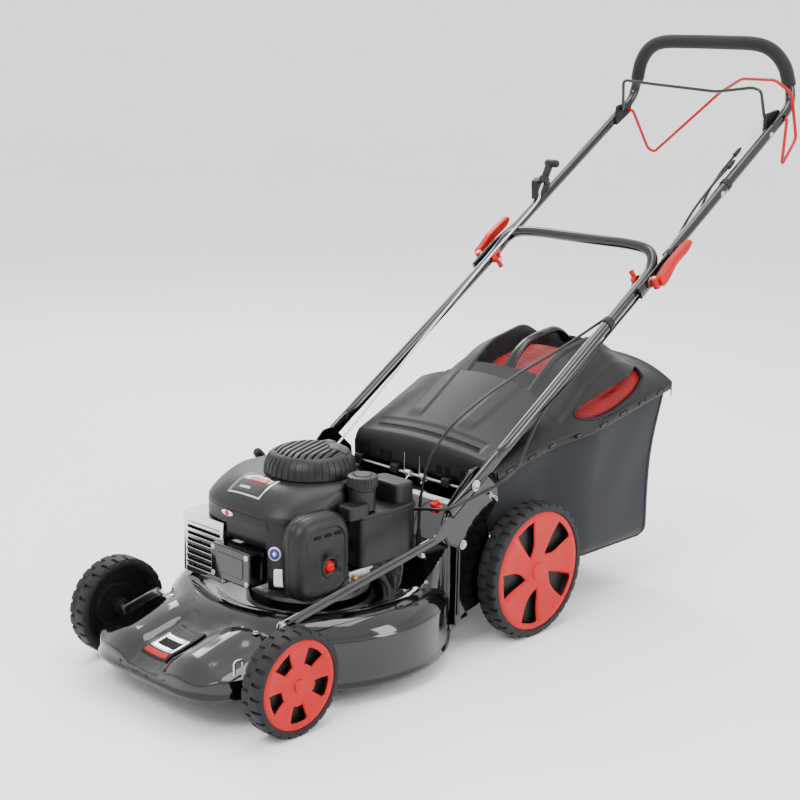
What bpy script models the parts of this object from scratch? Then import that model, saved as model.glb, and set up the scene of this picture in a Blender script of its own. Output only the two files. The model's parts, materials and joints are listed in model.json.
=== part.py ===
"""Self-propelled petrol lawn mower with a grass bag, as an assembly of separate pieces.

Metres, +Z up.  The mower's front is towards -Y, so +X is the left of a person who walks behind
it.  Everything is laid out from the point on the ground below the middle of the front wheels'
shaft; one empty then moves the whole mower, and its origin is the middle of its footprint.
"""
import bpy
import bmesh
from math import cos, hypot, pi, radians, sin, sqrt, tau
from mathutils import Matrix, Vector

# ---------------------------------------------------------------- driving dimensions
LAYOUT_TO_ORIGIN = 0.6888      # front wheel shaft to the middle of the mower's length
CLEAR = 0.0004                 # gap left between pieces that touch

FRONT_R, REAR_R = 0.090, 0.130             # wheels
FRONT_TRIM_R, REAR_TRIM_R = 0.0763, 0.1148
WHEELBASE = 0.618
WHEEL_W = 0.044
FRONT_X, REAR_X = 0.2370, 0.2215           # middle of each wheel's width
AXLE_R = 0.006
HUB_BORE_R = 0.0066
WHEEL_SIDES, SPOKES = 20, 5
CRANK_Y, CRANK_Z = 0.065, 0.015            # each wheel shaft from its crank's pivot

DECK_Y, DECK_R = 0.257, 0.255              # blade housing: centre and outer radius
DECK_T = 0.0030
BLADE_R = 0.228

HANDLE_SLOPE = 0.663                       # rise of the handle tubes for each unit of run
PIVOT_Y, PIVOT_Z = 0.4735, 0.318           # lower handle's bolt on its bracket
CLAMP_Y = 0.962                            # quick lever's bolt
LOWER_X, UPPER_X = 0.2000, 0.2075          # tube centres
TUBE_R = 0.011
BAIL_R = 0.0035

BAG_FRONT, BAG_REAR = 0.548, 1.043
FLAP_Y, FLAP_Z = 0.527, 0.284              # flap's hinge rod

ALONG = Vector((0, 1, HANDLE_SLOPE)).normalized()     # up the handle
OUT_OF = Vector((0, -ALONG.z, ALONG.y))               # square to the handle, upwards


def on_handle(y, lift=0.0):
    """Height at y of the tubes' centre line, or of a line that runs lift above it."""
    return PIVOT_Z + HANDLE_SLOPE * (y - PIVOT_Y) + lift * hypot(1, HANDLE_SLOPE)


CLAMP_Z = on_handle(CLAMP_Y)

# ---------------------------------------------------------------- scene and materials
for old in list(bpy.data.objects):
    bpy.data.objects.remove(old, do_unlink=True)

mower = bpy.data.objects.new("mower", None)
mower.location = (0, -LAYOUT_TO_ORIGIN, 0)
bpy.context.collection.objects.link(mower)

COLOURS = {                    # base colour, roughness, metallic
    "gloss_black": ((0.010, 0.010, 0.011), 0.16, 0.0),
    "matt_black": ((0.022, 0.022, 0.023), 0.50, 0.0),
    "engine_grey": ((0.030, 0.030, 0.032), 0.42, 0.0),
    "rubber": ((0.020, 0.021, 0.023), 0.75, 0.0),
    "red": ((0.70, 0.010, 0.018), 0.32, 0.0),
    "zinc": ((0.62, 0.64, 0.66), 0.28, 1.0),
    "aluminium": ((0.55, 0.55, 0.55), 0.40, 1.0),
    "foam": ((0.045, 0.045, 0.048), 0.85, 0.0),
    "fabric": ((0.035, 0.037, 0.046), 0.90, 0.0),
    "sheath": ((0.015, 0.015, 0.015), 0.45, 0.0),
    "rope": ((0.80, 0.80, 0.78), 0.80, 0.0),
}


def material(name):
    """The named finish, made once."""
    if name in bpy.data.materials:
        return bpy.data.materials[name]
    colour, roughness, metallic = COLOURS[name]
    made = bpy.data.materials.new(name)
    made.use_nodes = True
    shader = made.node_tree.nodes["Principled BSDF"]
    shader.inputs["Base Color"].default_value = (*colour, 1)
    shader.inputs["Roughness"].default_value = roughness
    shader.inputs["Metallic"].default_value = metallic
    return made


# ---------------------------------------------------------------- shape tools
def piece(name, bm, finish, origin=(0, 0, 0), parent=mower):
    """Turn a bmesh in layout coordinates into a named object with its origin where given."""
    bmesh.ops.recalc_face_normals(bm, faces=bm.faces)
    bmesh.ops.translate(bm, verts=bm.verts, vec=-Vector(origin))
    mesh = bpy.data.meshes.new(name)
    bm.to_mesh(mesh)
    bm.free()
    mesh.shade_smooth()
    mesh.set_sharp_from_angle(angle=radians(35))
    mesh.materials.append(material(finish))
    made = bpy.data.objects.new(name, mesh)
    made.location = origin
    made.parent = parent
    bpy.context.collection.objects.link(made)
    return made


def apply_modifiers(made):
    """Put the evaluated mesh back into the object and drop its modifiers."""
    bpy.context.view_layer.update()
    graph = bpy.context.evaluated_depsgraph_get()
    mesh = bpy.data.meshes.new_from_object(made.evaluated_get(graph), depsgraph=graph)
    made.modifiers.clear()
    made.data = mesh
    mesh.shade_smooth()
    mesh.set_sharp_from_angle(angle=radians(35))


def combine(made, tools, operation="UNION"):
    """Join other objects to this one, or cut them out of it, and remove them."""
    for tool in tools:
        step = made.modifiers.new(operation.lower(), "BOOLEAN")
        step.operation = operation
        step.object = tool
        step.solver = "EXACT"
    apply_modifiers(made)
    for tool in tools:
        bpy.data.objects.remove(tool, do_unlink=True)
    return made


def thicken(made, thickness, offset=-1.0):
    """Give an open surface a wall; an offset of -1 grows it behind the faces."""
    wall = made.modifiers.new("wall", "SOLIDIFY")
    wall.thickness = thickness
    wall.offset = offset
    wall.use_even_offset = True
    apply_modifiers(made)
    return made


def soften(made, width, segments=1, angle=40):
    """Round the sharp edges."""
    edge = made.modifiers.new("edge", "BEVEL")
    edge.width = width
    edge.segments = segments
    edge.limit_method = "ANGLE"
    edge.angle_limit = radians(angle)
    apply_modifiers(made)
    return made


def bridge(bm, rings, closed_ring=True, closed_ends=False, caps=True):
    """Skin rings of points, each with the same count, one after the other."""
    rows = [[bm.verts.new(p) for p in ring] for ring in rings]
    count = len(rows[0])
    spans = range(count if closed_ring else count - 1)
    pairs = list(zip(rows, rows[1:]))
    if closed_ends:
        pairs.append((rows[-1], rows[0]))
    for low, high in pairs:
        for i in spans:
            j = (i + 1) % count
            bm.faces.new((low[i], low[j], high[j], high[i]))
    if caps and closed_ring and not closed_ends:
        bm.faces.new(rows[0])
        bm.faces.new(rows[-1])
    return rows


def box(x0, x1, y0, y1, z0, z1):
    """A block between two corners."""
    bm = bmesh.new()
    rings = [[(x0, y0, z), (x1, y0, z), (x1, y1, z), (x0, y1, z)] for z in (z0, z1)]
    bridge(bm, rings)
    return bm


AXES = {"X": Matrix(((0, 0, 1), (1, 0, 0), (0, 1, 0))),
        "Y": Matrix(((1, 0, 0), (0, 0, 1), (0, -1, 0))),
        "Z": Matrix.Identity(3)}


def turned(profile, centre, axis="Z", count=24, closed=False, phase=0.0):
    """Turn (radius, along) points about an axis; closed=True joins the last to the first."""
    bm = bmesh.new()
    spin = AXES[axis]
    rings = []
    for radius, along in profile:
        ring = [(radius * cos(phase + tau * i / count), radius * sin(phase + tau * i / count), along)
                for i in range(count)]
        rings.append([Vector(centre) + spin @ Vector(p) for p in ring])
    bridge(bm, rings, closed_ends=closed, caps=not closed)
    return bm


def rod(start, end, radius, count=12):
    """A straight round bar."""
    return swept([start, end], radius, count)


def frames_along(path):
    """Direction and two cross axes at each point of a path, carried along without twist."""
    points = [Vector(p) for p in path]
    runs = [(b - a).normalized() for a, b in zip(points, points[1:])]
    tangents = [runs[0]] + [(a + b).normalized() for a, b in zip(runs, runs[1:])] + [runs[-1]]
    side = tangents[0].cross(Vector((0, 0, 1)))
    if side.length < 0.2:
        side = tangents[0].cross(Vector((0, 1, 0)))
    side.normalize()
    frames = []
    for tangent in tangents:
        side = (side - tangent * side.dot(tangent)).normalized()
        frames.append((tangent, side, tangent.cross(side)))
    return points, frames


def swept(path, radius, count=12, squash=None):
    """A round bar along a path; squash(i) gives the width and height factors at point i."""
    points, frames = frames_along(path)
    bm = bmesh.new()
    rings = []
    for i, (point, (tangent, side, up)) in enumerate(zip(points, frames)):
        wide, high = squash(i) if squash else (1, 1)
        rings.append([point + side * (radius * wide * cos(tau * k / count))
                      + up * (radius * high * sin(tau * k / count)) for k in range(count)])
    bridge(bm, rings)
    return bm


def curve_through(points, per_span=4):
    """A smooth curve through points, as a Catmull-Rom spline."""
    p = [Vector(q) for q in points]
    p = [p[0] * 2 - p[1]] + p + [p[-1] * 2 - p[-2]]
    path = []
    for a, b, c, d in zip(p, p[1:], p[2:], p[3:]):
        for k in range(per_span):
            t = k / per_span
            path.append(0.5 * ((2 * b) + (c - a) * t + (2 * a - 5 * b + 4 * c - d) * t * t
                               + (3 * b - a - 3 * c + d) * t ** 3))
    path.append(p[-2])
    return path


def rounded(corners, radius, steps=3):
    """A polyline with each inner corner turned through an arc-like curve."""
    pts = [Vector(c) for c in corners]
    path = [pts[0]]
    for a, b, c in zip(pts, pts[1:], pts[2:]):
        back = min(radius, (a - b).length * 0.45, (c - b).length * 0.45)
        start = b + (a - b).normalized() * back
        end = b + (c - b).normalized() * back
        for k in range(steps + 1):
            t = k / steps
            path.append(start * (1 - t) ** 2 + b * 2 * t * (1 - t) + end * t * t)
    path.append(pts[-1])
    return path


def plate(outline, low, high, axis="X"):
    """A flat plate: an outline of the two other coordinates, between low and high."""
    bm = bmesh.new()
    place = {"X": lambda u, v, w: (w, u, v), "Y": lambda u, v, w: (u, w, v),
             "Z": lambda u, v, w: (u, v, w)}[axis]
    bridge(bm, [[place(u, v, w) for u, v in outline] for w in (low, high)])
    return bm


def oval(theta, right, left, back, front, power):
    """Radius, in a direction, of a rounded box that reaches four distances from its centre."""
    across = right if cos(theta) >= 0 else left
    along = back if sin(theta) >= 0 else front
    return (abs(cos(theta) / across) ** power + abs(sin(theta) / along) ** power) ** (-1 / power)


def ease(value, low, high):
    """0 below low, 1 above high, and smooth between."""
    t = min(1.0, max(0.0, (value - low) / (high - low)))
    return t * t * (3 - 2 * t)


def cylinder_tool(name, start, end, radius, count=12):
    """A round bar as a bare object, for joining or cutting."""
    return piece(name, rod(start, end, radius, count), "zinc")


# ---------------------------------------------------------------- deck
RING_R, RING_Z = 0.166, 0.138              # rim of the engine's seat
SEAT_Z = 0.130
BORE_R = 0.030
REAR_HALF, REAR_END = 0.1885, 0.500        # straight rear part of the deck
NOSE_HALF, NOSE_END = 0.196, -0.122


def deck_edge(theta):
    """Radius of the deck's outline from the blade's centre."""
    nose = oval(theta, NOSE_HALF, NOSE_HALF, 0.1, DECK_Y - NOSE_END, 5.0) if sin(theta) < 0 else 0
    rear = oval(theta, REAR_HALF, REAR_HALF, REAR_END - DECK_Y, 0.1, 14.0) if sin(theta) > 0 else 0
    return max(DECK_R, nose, rear)


def deck_top(x, y):
    """Height of the pressed top: round shoulder, sloping nose and ramp to the bag."""
    out = hypot(x, y - DECK_Y)
    shoulder = ease(out, RING_R, 0.205)
    fall = max(0.0, (out - 0.205) / 0.050)
    dome = RING_Z + 0.012 * shoulder - 0.050 * (1 - sqrt(max(0.0, 1 - min(fall, 1.0) ** 2)))
    nose = 0.128 - 0.030 * ease(-y, -0.06, 0.115)
    nose += 0.016 * (cos(pi * min(1.0, abs(abs(x) - 0.085) / 0.075)) * 0.5 + 0.5) - 0.006
    nose -= 0.020 * ease(-y, 0.080, 0.125) + 0.020 * ease(abs(x), 0.150, 0.200)
    ramp = 0.132 + 0.140 * ease(y, 0.300, 0.520)
    height = dome
    if y < 0.06:
        height = max(dome, nose) if out < DECK_R else nose
    if y > 0.30 and abs(x) < REAR_HALF + 0.003:
        height = max(height, ramp)
    return height


def deck_foot(y):
    """Height of the skirt's lower edge."""
    return 0.030 + 0.026 * ease(-y, -0.05, 0.06) + 0.030 * ease(y, 0.40, 0.47)


def make_deck():
    """Pressed steel deck: one surface from the crankshaft hole out and down to the skirt."""
    count = 44
    rings = []
    for theta in (tau * i / count for i in range(count)):
        edge = deck_edge(theta)
        line = [(BORE_R, SEAT_Z), (0.152, SEAT_Z)]
        for part in (0.0, 0.25, 0.50, 0.75, 0.97):
            out = RING_R + (edge - 0.004 - RING_R) * part
            line.append((out, deck_top(out * cos(theta), DECK_Y + out * sin(theta))))
        y = DECK_Y + edge * sin(theta)
        foot = deck_foot(y)
        line += [(edge - 0.001, line[-1][1] - 0.006), (edge - 0.001, foot + 0.012),
                 (edge + 0.003, foot)]
        rings.append([(r * cos(theta), DECK_Y + r * sin(theta), z) for r, z in line])
    bm = bmesh.new()
    bridge(bm, rings, closed_ring=False, closed_ends=True, caps=False)
    chute = [f for f in bm.faces if f.calc_center_median().y > REAR_END - 0.012
             and abs(f.calc_center_median().x) < 0.150 and 0.070 < f.calc_center_median().z < 0.2]
    bmesh.ops.delete(bm, geom=chute, context="FACES")
    bmesh.ops.recalc_face_normals(bm, faces=bm.faces)
    if max(bm.faces, key=lambda f: f.calc_center_median().z).normal.z < 0:
        bmesh.ops.reverse_faces(bm, faces=bm.faces)
    mesh = bpy.data.meshes.new("deck_shell")
    bm.to_mesh(mesh)
    bm.free()
    mesh.materials.append(material("gloss_black"))
    deck = bpy.data.objects.new("deck_shell", mesh)
    deck.parent = mower
    bpy.context.collection.objects.link(deck)
    thicken(deck, DECK_T)
    reach = NOSE_HALF + 0.03
    pivot = Vector((0, CRANK_Y, FRONT_R + CRANK_Z))
    hole = cylinder_tool("axle_hole", pivot - Vector((reach, 0, 0)), pivot + Vector((reach, 0, 0)),
                         0.0080)
    return combine(deck, [hole], "DIFFERENCE")


# ---------------------------------------------------------------- engine
FLANGE_R, DRUM_R = 0.110, 0.088
SHAFT_R = 0.0125
COWL_OPEN_R = 0.079
COWL_TOP = 0.3465


def make_crankcase():
    """Mounting flange, drum and upper bearing boss, bored for the crankshaft."""
    base = SEAT_Z + CLEAR
    bore = SHAFT_R + 0.0009
    line = [(bore, base), (FLANGE_R, base), (FLANGE_R, base + 0.011), (DRUM_R, base + 0.016),
            (DRUM_R, 0.208), (0.064, 0.222), (0.058, 0.284), (bore, 0.284)]
    piece("crankcase", turned(line, (0, DECK_Y, 0), count=20, closed=True), "aluminium")


def make_cylinder():
    """Cylinder barrel between the crankcase and the head, with its cooling fins."""
    front, back = 0.1125, DECK_Y - DRUM_R - 0.0035
    barrel = piece("cylinder", box(-0.038, 0.044, front, back, 0.176, 0.240), "aluminium")
    fins = []
    for i in range(4):
        y = front + 0.004 + i * 0.0125
        fins.append(piece("fin", box(-0.050, 0.052, y, y + 0.0025, 0.168, 0.242), "aluminium"))
    combine(barrel, fins)


def make_valve_cover():
    """Gloss box bolted on the front of the cylinder head."""
    cover = piece("valve_cover", box(-0.052, 0.052, 0.067, 0.1121, 0.178, 0.2415), "gloss_black")
    soften(cover, 0.007, 2)


def make_muffler():
    """Silencer box on the right of the cylinder head."""
    can = piece("muffler", box(-0.143, -0.056, 0.112, 0.150, 0.165, 0.255), "aluminium")
    soften(can, 0.010, 2)


def make_muffler_guard():
    """Slotted heat guard round the silencer's front, side and top."""
    guard = piece("muffler_guard", box(-0.168, -0.0545, 0.098, 0.162, 0.152, 0.266), "aluminium")
    soften(guard, 0.012, 2)
    inside = piece("inside", box(-0.1650, -0.030, 0.1010, 0.180, 0.1300, 0.2630), "aluminium")
    tools = [soften(inside, 0.010, 2)]
    for i in range(6):
        z = 0.168 + i * 0.0145
        tools.append(piece("slot", box(-0.150, -0.075, 0.090, 0.110, z, z + 0.006), "aluminium"))
    combine(guard, tools, "DIFFERENCE")


def cowl_edge(theta):
    """Plan of the blower housing; it is cut back to the recoil's circle beside the tank."""
    edge = oval(theta, 0.110, 0.163, 0.108, 0.155, 3.4)
    round_tank = ease(theta, -0.20, -0.02) * (1 - ease(theta, 1.48, 1.66))
    return edge + (0.0925 - edge) * round_tank


def cowl_foot(x, y):
    """Height of the blower housing's lower edge."""
    if y < 0.205:
        if x < -0.050:
            return 0.2685
        return 0.2450 if x < 0.0555 else 0.172
    return 0.240 if x < 0.060 else 0.2990


def make_blower_housing():
    """Moulded cooling-air housing, open below and round the recoil starter."""
    count = 30
    rings = []
    for theta in (-pi + tau * i / count for i in range(count)):
        edge = cowl_edge(theta)
        foot = cowl_foot(edge * cos(theta), DECK_Y + edge * sin(theta))
        line = [(COWL_OPEN_R, COWL_TOP - 0.001), (COWL_OPEN_R + (edge - COWL_OPEN_R) * 0.65, 0.342),
                (edge * 0.970, 0.327), (edge, 0.305), (edge, foot)]
        rings.append([(r * cos(theta), DECK_Y + r * sin(theta), z) for r, z in line])
    shell = open_shell("blower_housing", rings, "engine_grey")
    thicken(shell, 0.0025)


def open_shell(name, rings, finish, up=True, closed=True):
    """A surface from rings of points, with its faces turned outwards."""
    bm = bmesh.new()
    bridge(bm, rings, closed_ring=False, closed_ends=closed, caps=False)
    bmesh.ops.recalc_face_normals(bm, faces=bm.faces)
    if (max(bm.faces, key=lambda f: f.calc_center_median().z).normal.z < 0) == up:
        bmesh.ops.reverse_faces(bm, faces=bm.faces)
    mesh = bpy.data.meshes.new(name)
    bm.to_mesh(mesh)
    bm.free()
    mesh.materials.append(material(finish))
    made = bpy.data.objects.new(name, mesh)
    made.parent = mower
    bpy.context.collection.objects.link(made)
    return made


def make_recoil_cover():
    """Round cover of the recoil starter, a thin dome."""
    low = COWL_TOP + CLEAR
    line = [(0.083, low), (0.0815, 0.364), (0.070, 0.380), (0.046, 0.3885), (0.0, 0.3890),
            (0.0, 0.3865), (0.045, 0.3860), (0.068, 0.3777), (0.0790, 0.363), (0.0805, low)]
    bm = turned(line, (0, DECK_Y, 0), count=22, closed=True)
    bmesh.ops.remove_doubles(bm, verts=bm.verts, dist=1e-6)
    cover = piece("recoil_cover", bm, "engine_grey")
    spout = piece("spout", box(-0.058, -0.030, 0.318, 0.352, 0.352, 0.376), "engine_grey")
    hollow = cylinder_tool("rope_way", (-0.044, 0.30, 0.364), (-0.044, 0.38, 0.364), 0.005)
    combine(cover, [spout])
    combine(cover, [hollow], "DIFFERENCE")


def make_air_filter_cover():
    """D-shaped cover on the engine's left side, a thin shell with a hole for the primer."""
    count = 22
    centre_y, centre_z, face_x = 0.156, 0.236, 0.1525
    rings = []
    for theta in (tau * i / count for i in range(count)):
        edge = oval(theta, 0.060, 0.066, 0.079, 0.071, 3.0)
        line = [(0.001, face_x), (edge * 0.72, face_x - 0.002), (edge * 0.92, face_x - 0.007),
                (edge, face_x - 0.018), (edge, 0.1125)]
        rings.append([(x, centre_y + r * cos(theta), centre_z + r * sin(theta)) for r, x in line])
    shell = open_shell("air_filter_cover", rings, "engine_grey")
    turn_outward(shell, Vector((0.5, 0, 0)))
    thicken(shell, 0.0025)
    plug = cylinder_tool("plug", (face_x - 0.0035, centre_y, centre_z),
                         (face_x + 0.0004, centre_y, centre_z), 0.004)
    hole = cylinder_tool("hole", (0.10, PRIMER_Y, PRIMER_Z), (0.17, PRIMER_Y, PRIMER_Z), 0.0165, 20)
    combine(shell, [plug])
    combine(shell, [hole], "DIFFERENCE")


def turn_outward(made, direction):
    """Flip the faces if the face furthest that way points inward."""
    mesh = made.data
    bm = bmesh.new()
    bm.from_mesh(mesh)
    outer = max(bm.faces, key=lambda f: f.calc_center_median().dot(direction))
    if outer.normal.dot(direction) < 0:
        bmesh.ops.reverse_faces(bm, faces=bm.faces)
    bm.to_mesh(mesh)
    bm.free()


PRIMER_Y, PRIMER_Z = 0.166, 0.222


def make_primer():
    """Soft primer button in its hole, with its stem."""
    line = [(0.0, 0.1545), (0.006, 0.1535), (0.0115, 0.1500), (0.0135, 0.1445), (0.0135, 0.138),
            (0.0152, 0.1375), (0.0152, 0.134), (0.0, 0.134)]
    bm = turned(line, (0, PRIMER_Y, PRIMER_Z), axis="X", count=12)
    bmesh.ops.remove_doubles(bm, verts=bm.verts, dist=1e-6)
    piece("primer_bulb", bm, "red", origin=(0.134, PRIMER_Y, PRIMER_Z))


def make_carburettor():
    """Carburettor body with its float bowl."""
    body = piece("carburettor", box(0.0925, 0.128, 0.232, 0.284, 0.165, 0.194), "aluminium")
    bowl = cylinder_tool("bowl", (0.110, 0.256, 0.146), (0.110, 0.256, 0.170), 0.0165, 20)
    throat = cylinder_tool("throat", (0.110, 0.2225, 0.182), (0.110, 0.300, 0.182), 0.010, 16)
    combine(body, [bowl, throat])


CAP_X, CAP_Y = 0.1215, 0.2680


def tank_plan(grow=0.0, first_y=0.236, last_y=0.390):
    """Plan of the tank: its inner side follows the blower housing's circle."""
    around = 0.0955 - grow
    points = [(0.152 + grow, first_y + 0.004 - grow), (0.154 + grow, last_y - 0.030),
              (0.134 + grow, last_y + grow), (0.024 - grow, last_y + grow)]
    top, low = 1.36, 0.02
    points += [(around * cos(top + (low - top) * i / 8),
                DECK_Y + around * sin(top + (low - top) * i / 8))
               for i in range(9)]
    return points


def make_fuel_tank():
    """Fuel tank: body, seam flange, two raised blocks and the filler neck."""
    tank = piece("fuel_tank", plate(tank_plan(), 0.2005, 0.296, "Z"), "engine_grey")
    soften(tank, 0.003, 1)
    flange = piece("flange", plate(tank_plan(0.002), 0.284, 0.290, "Z"), "engine_grey")
    rear = piece("rear_block", box(0.062, 0.142, 0.337, 0.382, 0.290, 0.332), "engine_grey")
    soften(rear, 0.008, 1)
    front = piece("front_block", box(0.1125, 0.1500, 0.2135, 0.2620, 0.290, 0.316), "engine_grey")
    soften(front, 0.008, 1)
    neck = cylinder_tool("neck", (CAP_X, CAP_Y, 0.290), (CAP_X, CAP_Y, 0.3400), 0.0235, 16)
    combine(tank, [flange, rear, front, neck])
    mouth = cylinder_tool("mouth", (CAP_X, CAP_Y, 0.300), (CAP_X, CAP_Y, 0.350), 0.0190, 16)
    combine(tank, [mouth], "DIFFERENCE")


def make_fuel_cap():
    """Ribbed screw cap."""
    line = [(0.0, 0.3404), (0.0265, 0.3404), (0.0275, 0.342), (0.0275, 0.3575), (0.0245, 0.3610),
            (0.0, 0.3622)]
    bm = turned(line, (CAP_X, CAP_Y, 0), count=18)
    bmesh.ops.remove_doubles(bm, verts=bm.verts, dist=1e-6)
    piece("fuel_cap", bm, "engine_grey", origin=(CAP_X, CAP_Y, 0.3404))


# ---------------------------------------------------------------- crankshaft and blade
def make_crank_parts():
    """Everything that turns with the crankshaft, on one upright axis."""
    axis = (0, DECK_Y, 0)
    piece("crankshaft", rod((0, DECK_Y, 0.0750), (0, DECK_Y, 0.2960), SHAFT_R, 16), "zinc", origin=axis)
    gap = SHAFT_R + CLEAR
    fan = [(gap, 0.2880), (0.066, 0.2880), (0.068, 0.2920), (0.068, 0.3150), (0.064, 0.3150),
           (0.062, 0.2960),
           (0.022, 0.2960), (0.020, 0.3100), (gap, 0.3100)]
    piece("flywheel_fan", turned(fan, axis, count=18, closed=True), "aluminium", origin=axis)
    hub = [(gap, 0.0640), (0.027, 0.0640), (0.027, 0.0720), (0.020, 0.0760), (0.020, 0.0960),
           (0.032, 0.0990),
           (0.026, 0.1080), (0.032, 0.1170), (gap, 0.1170)]
    piece("blade_adapter", turned(hub, axis, count=16, closed=True), "zinc", origin=axis)
    blade = piece("mower_blade", blade_mesh(), "zinc", origin=axis)
    hole = cylinder_tool("hole", (0, DECK_Y, 0.05), (0, DECK_Y, 0.07), 0.0060)
    combine(blade, [hole], "DIFFERENCE")
    bolt = [(0.0, 0.0480), (0.0125, 0.0480), (0.0125, 0.0576), (0.0055, 0.0576), (0.0055, 0.0740),
            (0.0, 0.0740)]
    bm = turned(bolt, axis, count=12)
    bmesh.ops.remove_doubles(bm, verts=bm.verts, dist=1e-6)
    piece("blade_bolt", bm, "zinc", origin=axis)


def blade_mesh():
    """Flat bar with a lifted sail behind each cutting tip."""
    bm = bmesh.new()
    rings = []
    for step in (-1.0, -0.93, -0.68, -0.5, -0.12, 0.12, 0.5, 0.68, 0.93, 1.0):
        side = 1 if step > 0 else -1
        lift = 0.018 * (ease(abs(step), 0.5, 0.70))
        y = step * BLADE_R
        front, back = side * 0.027, -side * 0.027
        middle = -side * 0.006
        rings.append([(front, DECK_Y + y, 0.0580), (middle, DECK_Y + y, 0.0580),
                      (back, DECK_Y + y, 0.0580 + lift), (back, DECK_Y + y, 0.0630 + lift),
                      (middle, DECK_Y + y, 0.0630), (front, DECK_Y + y, 0.0630)])
        if side > 0:
            rings[-1] = rings[-1][2::-1] + rings[-1][:2:-1]
    bridge(bm, rings)
    return bm


# ---------------------------------------------------------------- wheels and axles
def make_wheel(label, x, y, wheel_r, trim_r):
    """Tyre, wheel disc and red trim on one shaft; x is signed and the trim faces outwards."""
    out = 1 if x > 0 else -1
    centre = (x, y, wheel_r)
    half = WHEEL_W / 2
    bead = trim_r + 0.0003
    tread_r = wheel_r / cos(pi / WHEEL_SIDES)
    tread = [(bead, -half), (tread_r - 0.004, -half), (tread_r, -half + 0.005),
             (tread_r, half - 0.005), (tread_r - 0.004, half), (bead, half)]
    wheel_part("tyre_" + label, tread, centre, out, "rubber")
    rim = trim_r - 0.0003
    dish = [(HUB_BORE_R, -0.019), (0.015, -0.019), (0.016, 0.001), (rim - 0.006, 0.001),
            (rim - 0.005, -0.017),
            (rim, -0.017), (rim, 0.0165), (rim - 0.007, 0.0165), (rim - 0.008, 0.006), (0.015, 0.006),
            (0.014, 0.0165), (HUB_BORE_R, 0.0165)]
    wheel_part("wheel_disc_" + label, dish, centre, out, "matt_black")
    made = piece("wheel_trim_" + label, trim_mesh(centre, rim, out), "red", origin=centre)
    turn_outward(made, Vector((out, 0, 0)))
    thicken(made, 0.0028)


def wheel_part(name, profile, centre, out, finish):
    """A turned part of a wheel, with a flat of its outline at the bottom."""
    bm = turned(mirrored(profile, out), centre, "X", WHEEL_SIDES, closed=True, phase=pi / WHEEL_SIDES)
    piece(name, bm, finish, origin=centre)


def mirrored(profile, out):
    """Turn a (radius, along) profile round for the other side of the mower."""
    return [(r, along * out) for r, along in profile]


def trim_mesh(centre, rim, out):
    """Flat trim with a window between each pair of spokes."""
    bm = bmesh.new()
    per = WHEEL_SIDES // SPOKES
    count = WHEEL_SIDES
    radii = [0.0055, rim * 0.26, rim * 0.36, rim * 0.85, rim]
    heights = [0.0225, 0.0222, 0.0200, 0.0206, 0.0212]
    rows = []
    for radius, along in zip(radii, heights):
        ring = []
        for i in range(count):
            angle = tau * (i + 0.5) / count + pi / 2
            ring.append(bm.verts.new((centre[0] + out * along, centre[1] + radius * cos(angle),
                                      centre[2] + radius * sin(angle))))
        rows.append(ring)
    for band, (low, high) in enumerate(zip(rows, rows[1:])):
        for i in range(count):
            if band == 2 and i % per not in (0, per - 1):
                continue
            j = (i + 1) % count
            bm.faces.new((low[i], low[j], high[j], high[i]))
    loose = [v for v in bm.verts if not v.link_faces]
    bmesh.ops.delete(bm, geom=loose, context="VERTS")
    return bm


FRONT_PIVOT = Vector((0, CRANK_Y, FRONT_R + CRANK_Z))
REAR_PIVOT = Vector((0, WHEELBASE - CRANK_Y, REAR_R + CRANK_Z))
FRONT_ARM_X, REAR_ARM_X = 0.2060, 0.1790
LINK_X = 0.2075
LINK_FRONT = Vector((LINK_X, 0.004, 0.1760))
LINK_REAR = Vector((LINK_X, 0.392, 0.2460))


def arm_plate(x, start, end, width=0.016, thickness=0.004):
    """A flat crank arm with square ends, between two points in a plane of constant x."""
    run = Vector((0, end[1] - start[1], end[2] - start[2])).normalized()
    side = Vector((0, -run.z, run.y)) * (width / 2)
    first = Vector((0, start[1], start[2])) - run * (width / 2)
    last = Vector((0, end[1], end[2])) + run * (width / 2)
    outline = [first + side, last + side, last - side, first - side]
    return plate([(p.y, p.z) for p in outline], x - thickness / 2, x + thickness / 2)


def make_front_axle():
    """Cross rod in the deck, crank arms outside it, wheel stubs, and the arm for the link."""
    wheel = Vector((0, 0, FRONT_R))
    reach = Vector((FRONT_ARM_X + 0.002, 0, 0))
    axle = piece("front_axle", rod(FRONT_PIVOT - reach, FRONT_PIVOT + reach, AXLE_R), "zinc",
                 origin=FRONT_PIVOT)
    parts = []
    for side in (-1, 1):
        stub_in = wheel + Vector((side * (FRONT_ARM_X - 0.002), 0, 0))
        stub_out = wheel + Vector((side * (FRONT_X + 0.0185), 0, 0))
        parts.append(cylinder_tool("stub", stub_in, stub_out, AXLE_R, 12))
        parts.append(piece("arm", arm_plate(side * FRONT_ARM_X, FRONT_PIVOT, wheel), "zinc"))
    parts.append(piece("link_arm", arm_plate(FRONT_ARM_X - 0.0005, FRONT_PIVOT, LINK_FRONT, 0.014,
                                             0.0028), "zinc"))
    combine(axle, parts)


def make_rear_axle():
    """Driven shaft between the rear wheels, hung from two arms on pivot pins."""
    wheel = Vector((0, WHEELBASE, REAR_R))
    reach = Vector((REAR_X + 0.0185, 0, 0))
    axle = piece("rear_axle", rod(wheel - reach, wheel + reach, AXLE_R), "zinc", origin=REAR_PIVOT)
    parts = []
    for side in (-1, 1):
        pin_in = REAR_PIVOT + Vector((side * (REAR_ARM_X - 0.002), 0, 0))
        pin_out = REAR_PIVOT + Vector((side * 0.1965, 0, 0))
        parts.append(cylinder_tool("pin", pin_in, pin_out, AXLE_R, 12))
        parts.append(piece("arm", arm_plate(side * REAR_ARM_X, REAR_PIVOT, wheel), "zinc"))
    combine(axle, parts)


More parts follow.
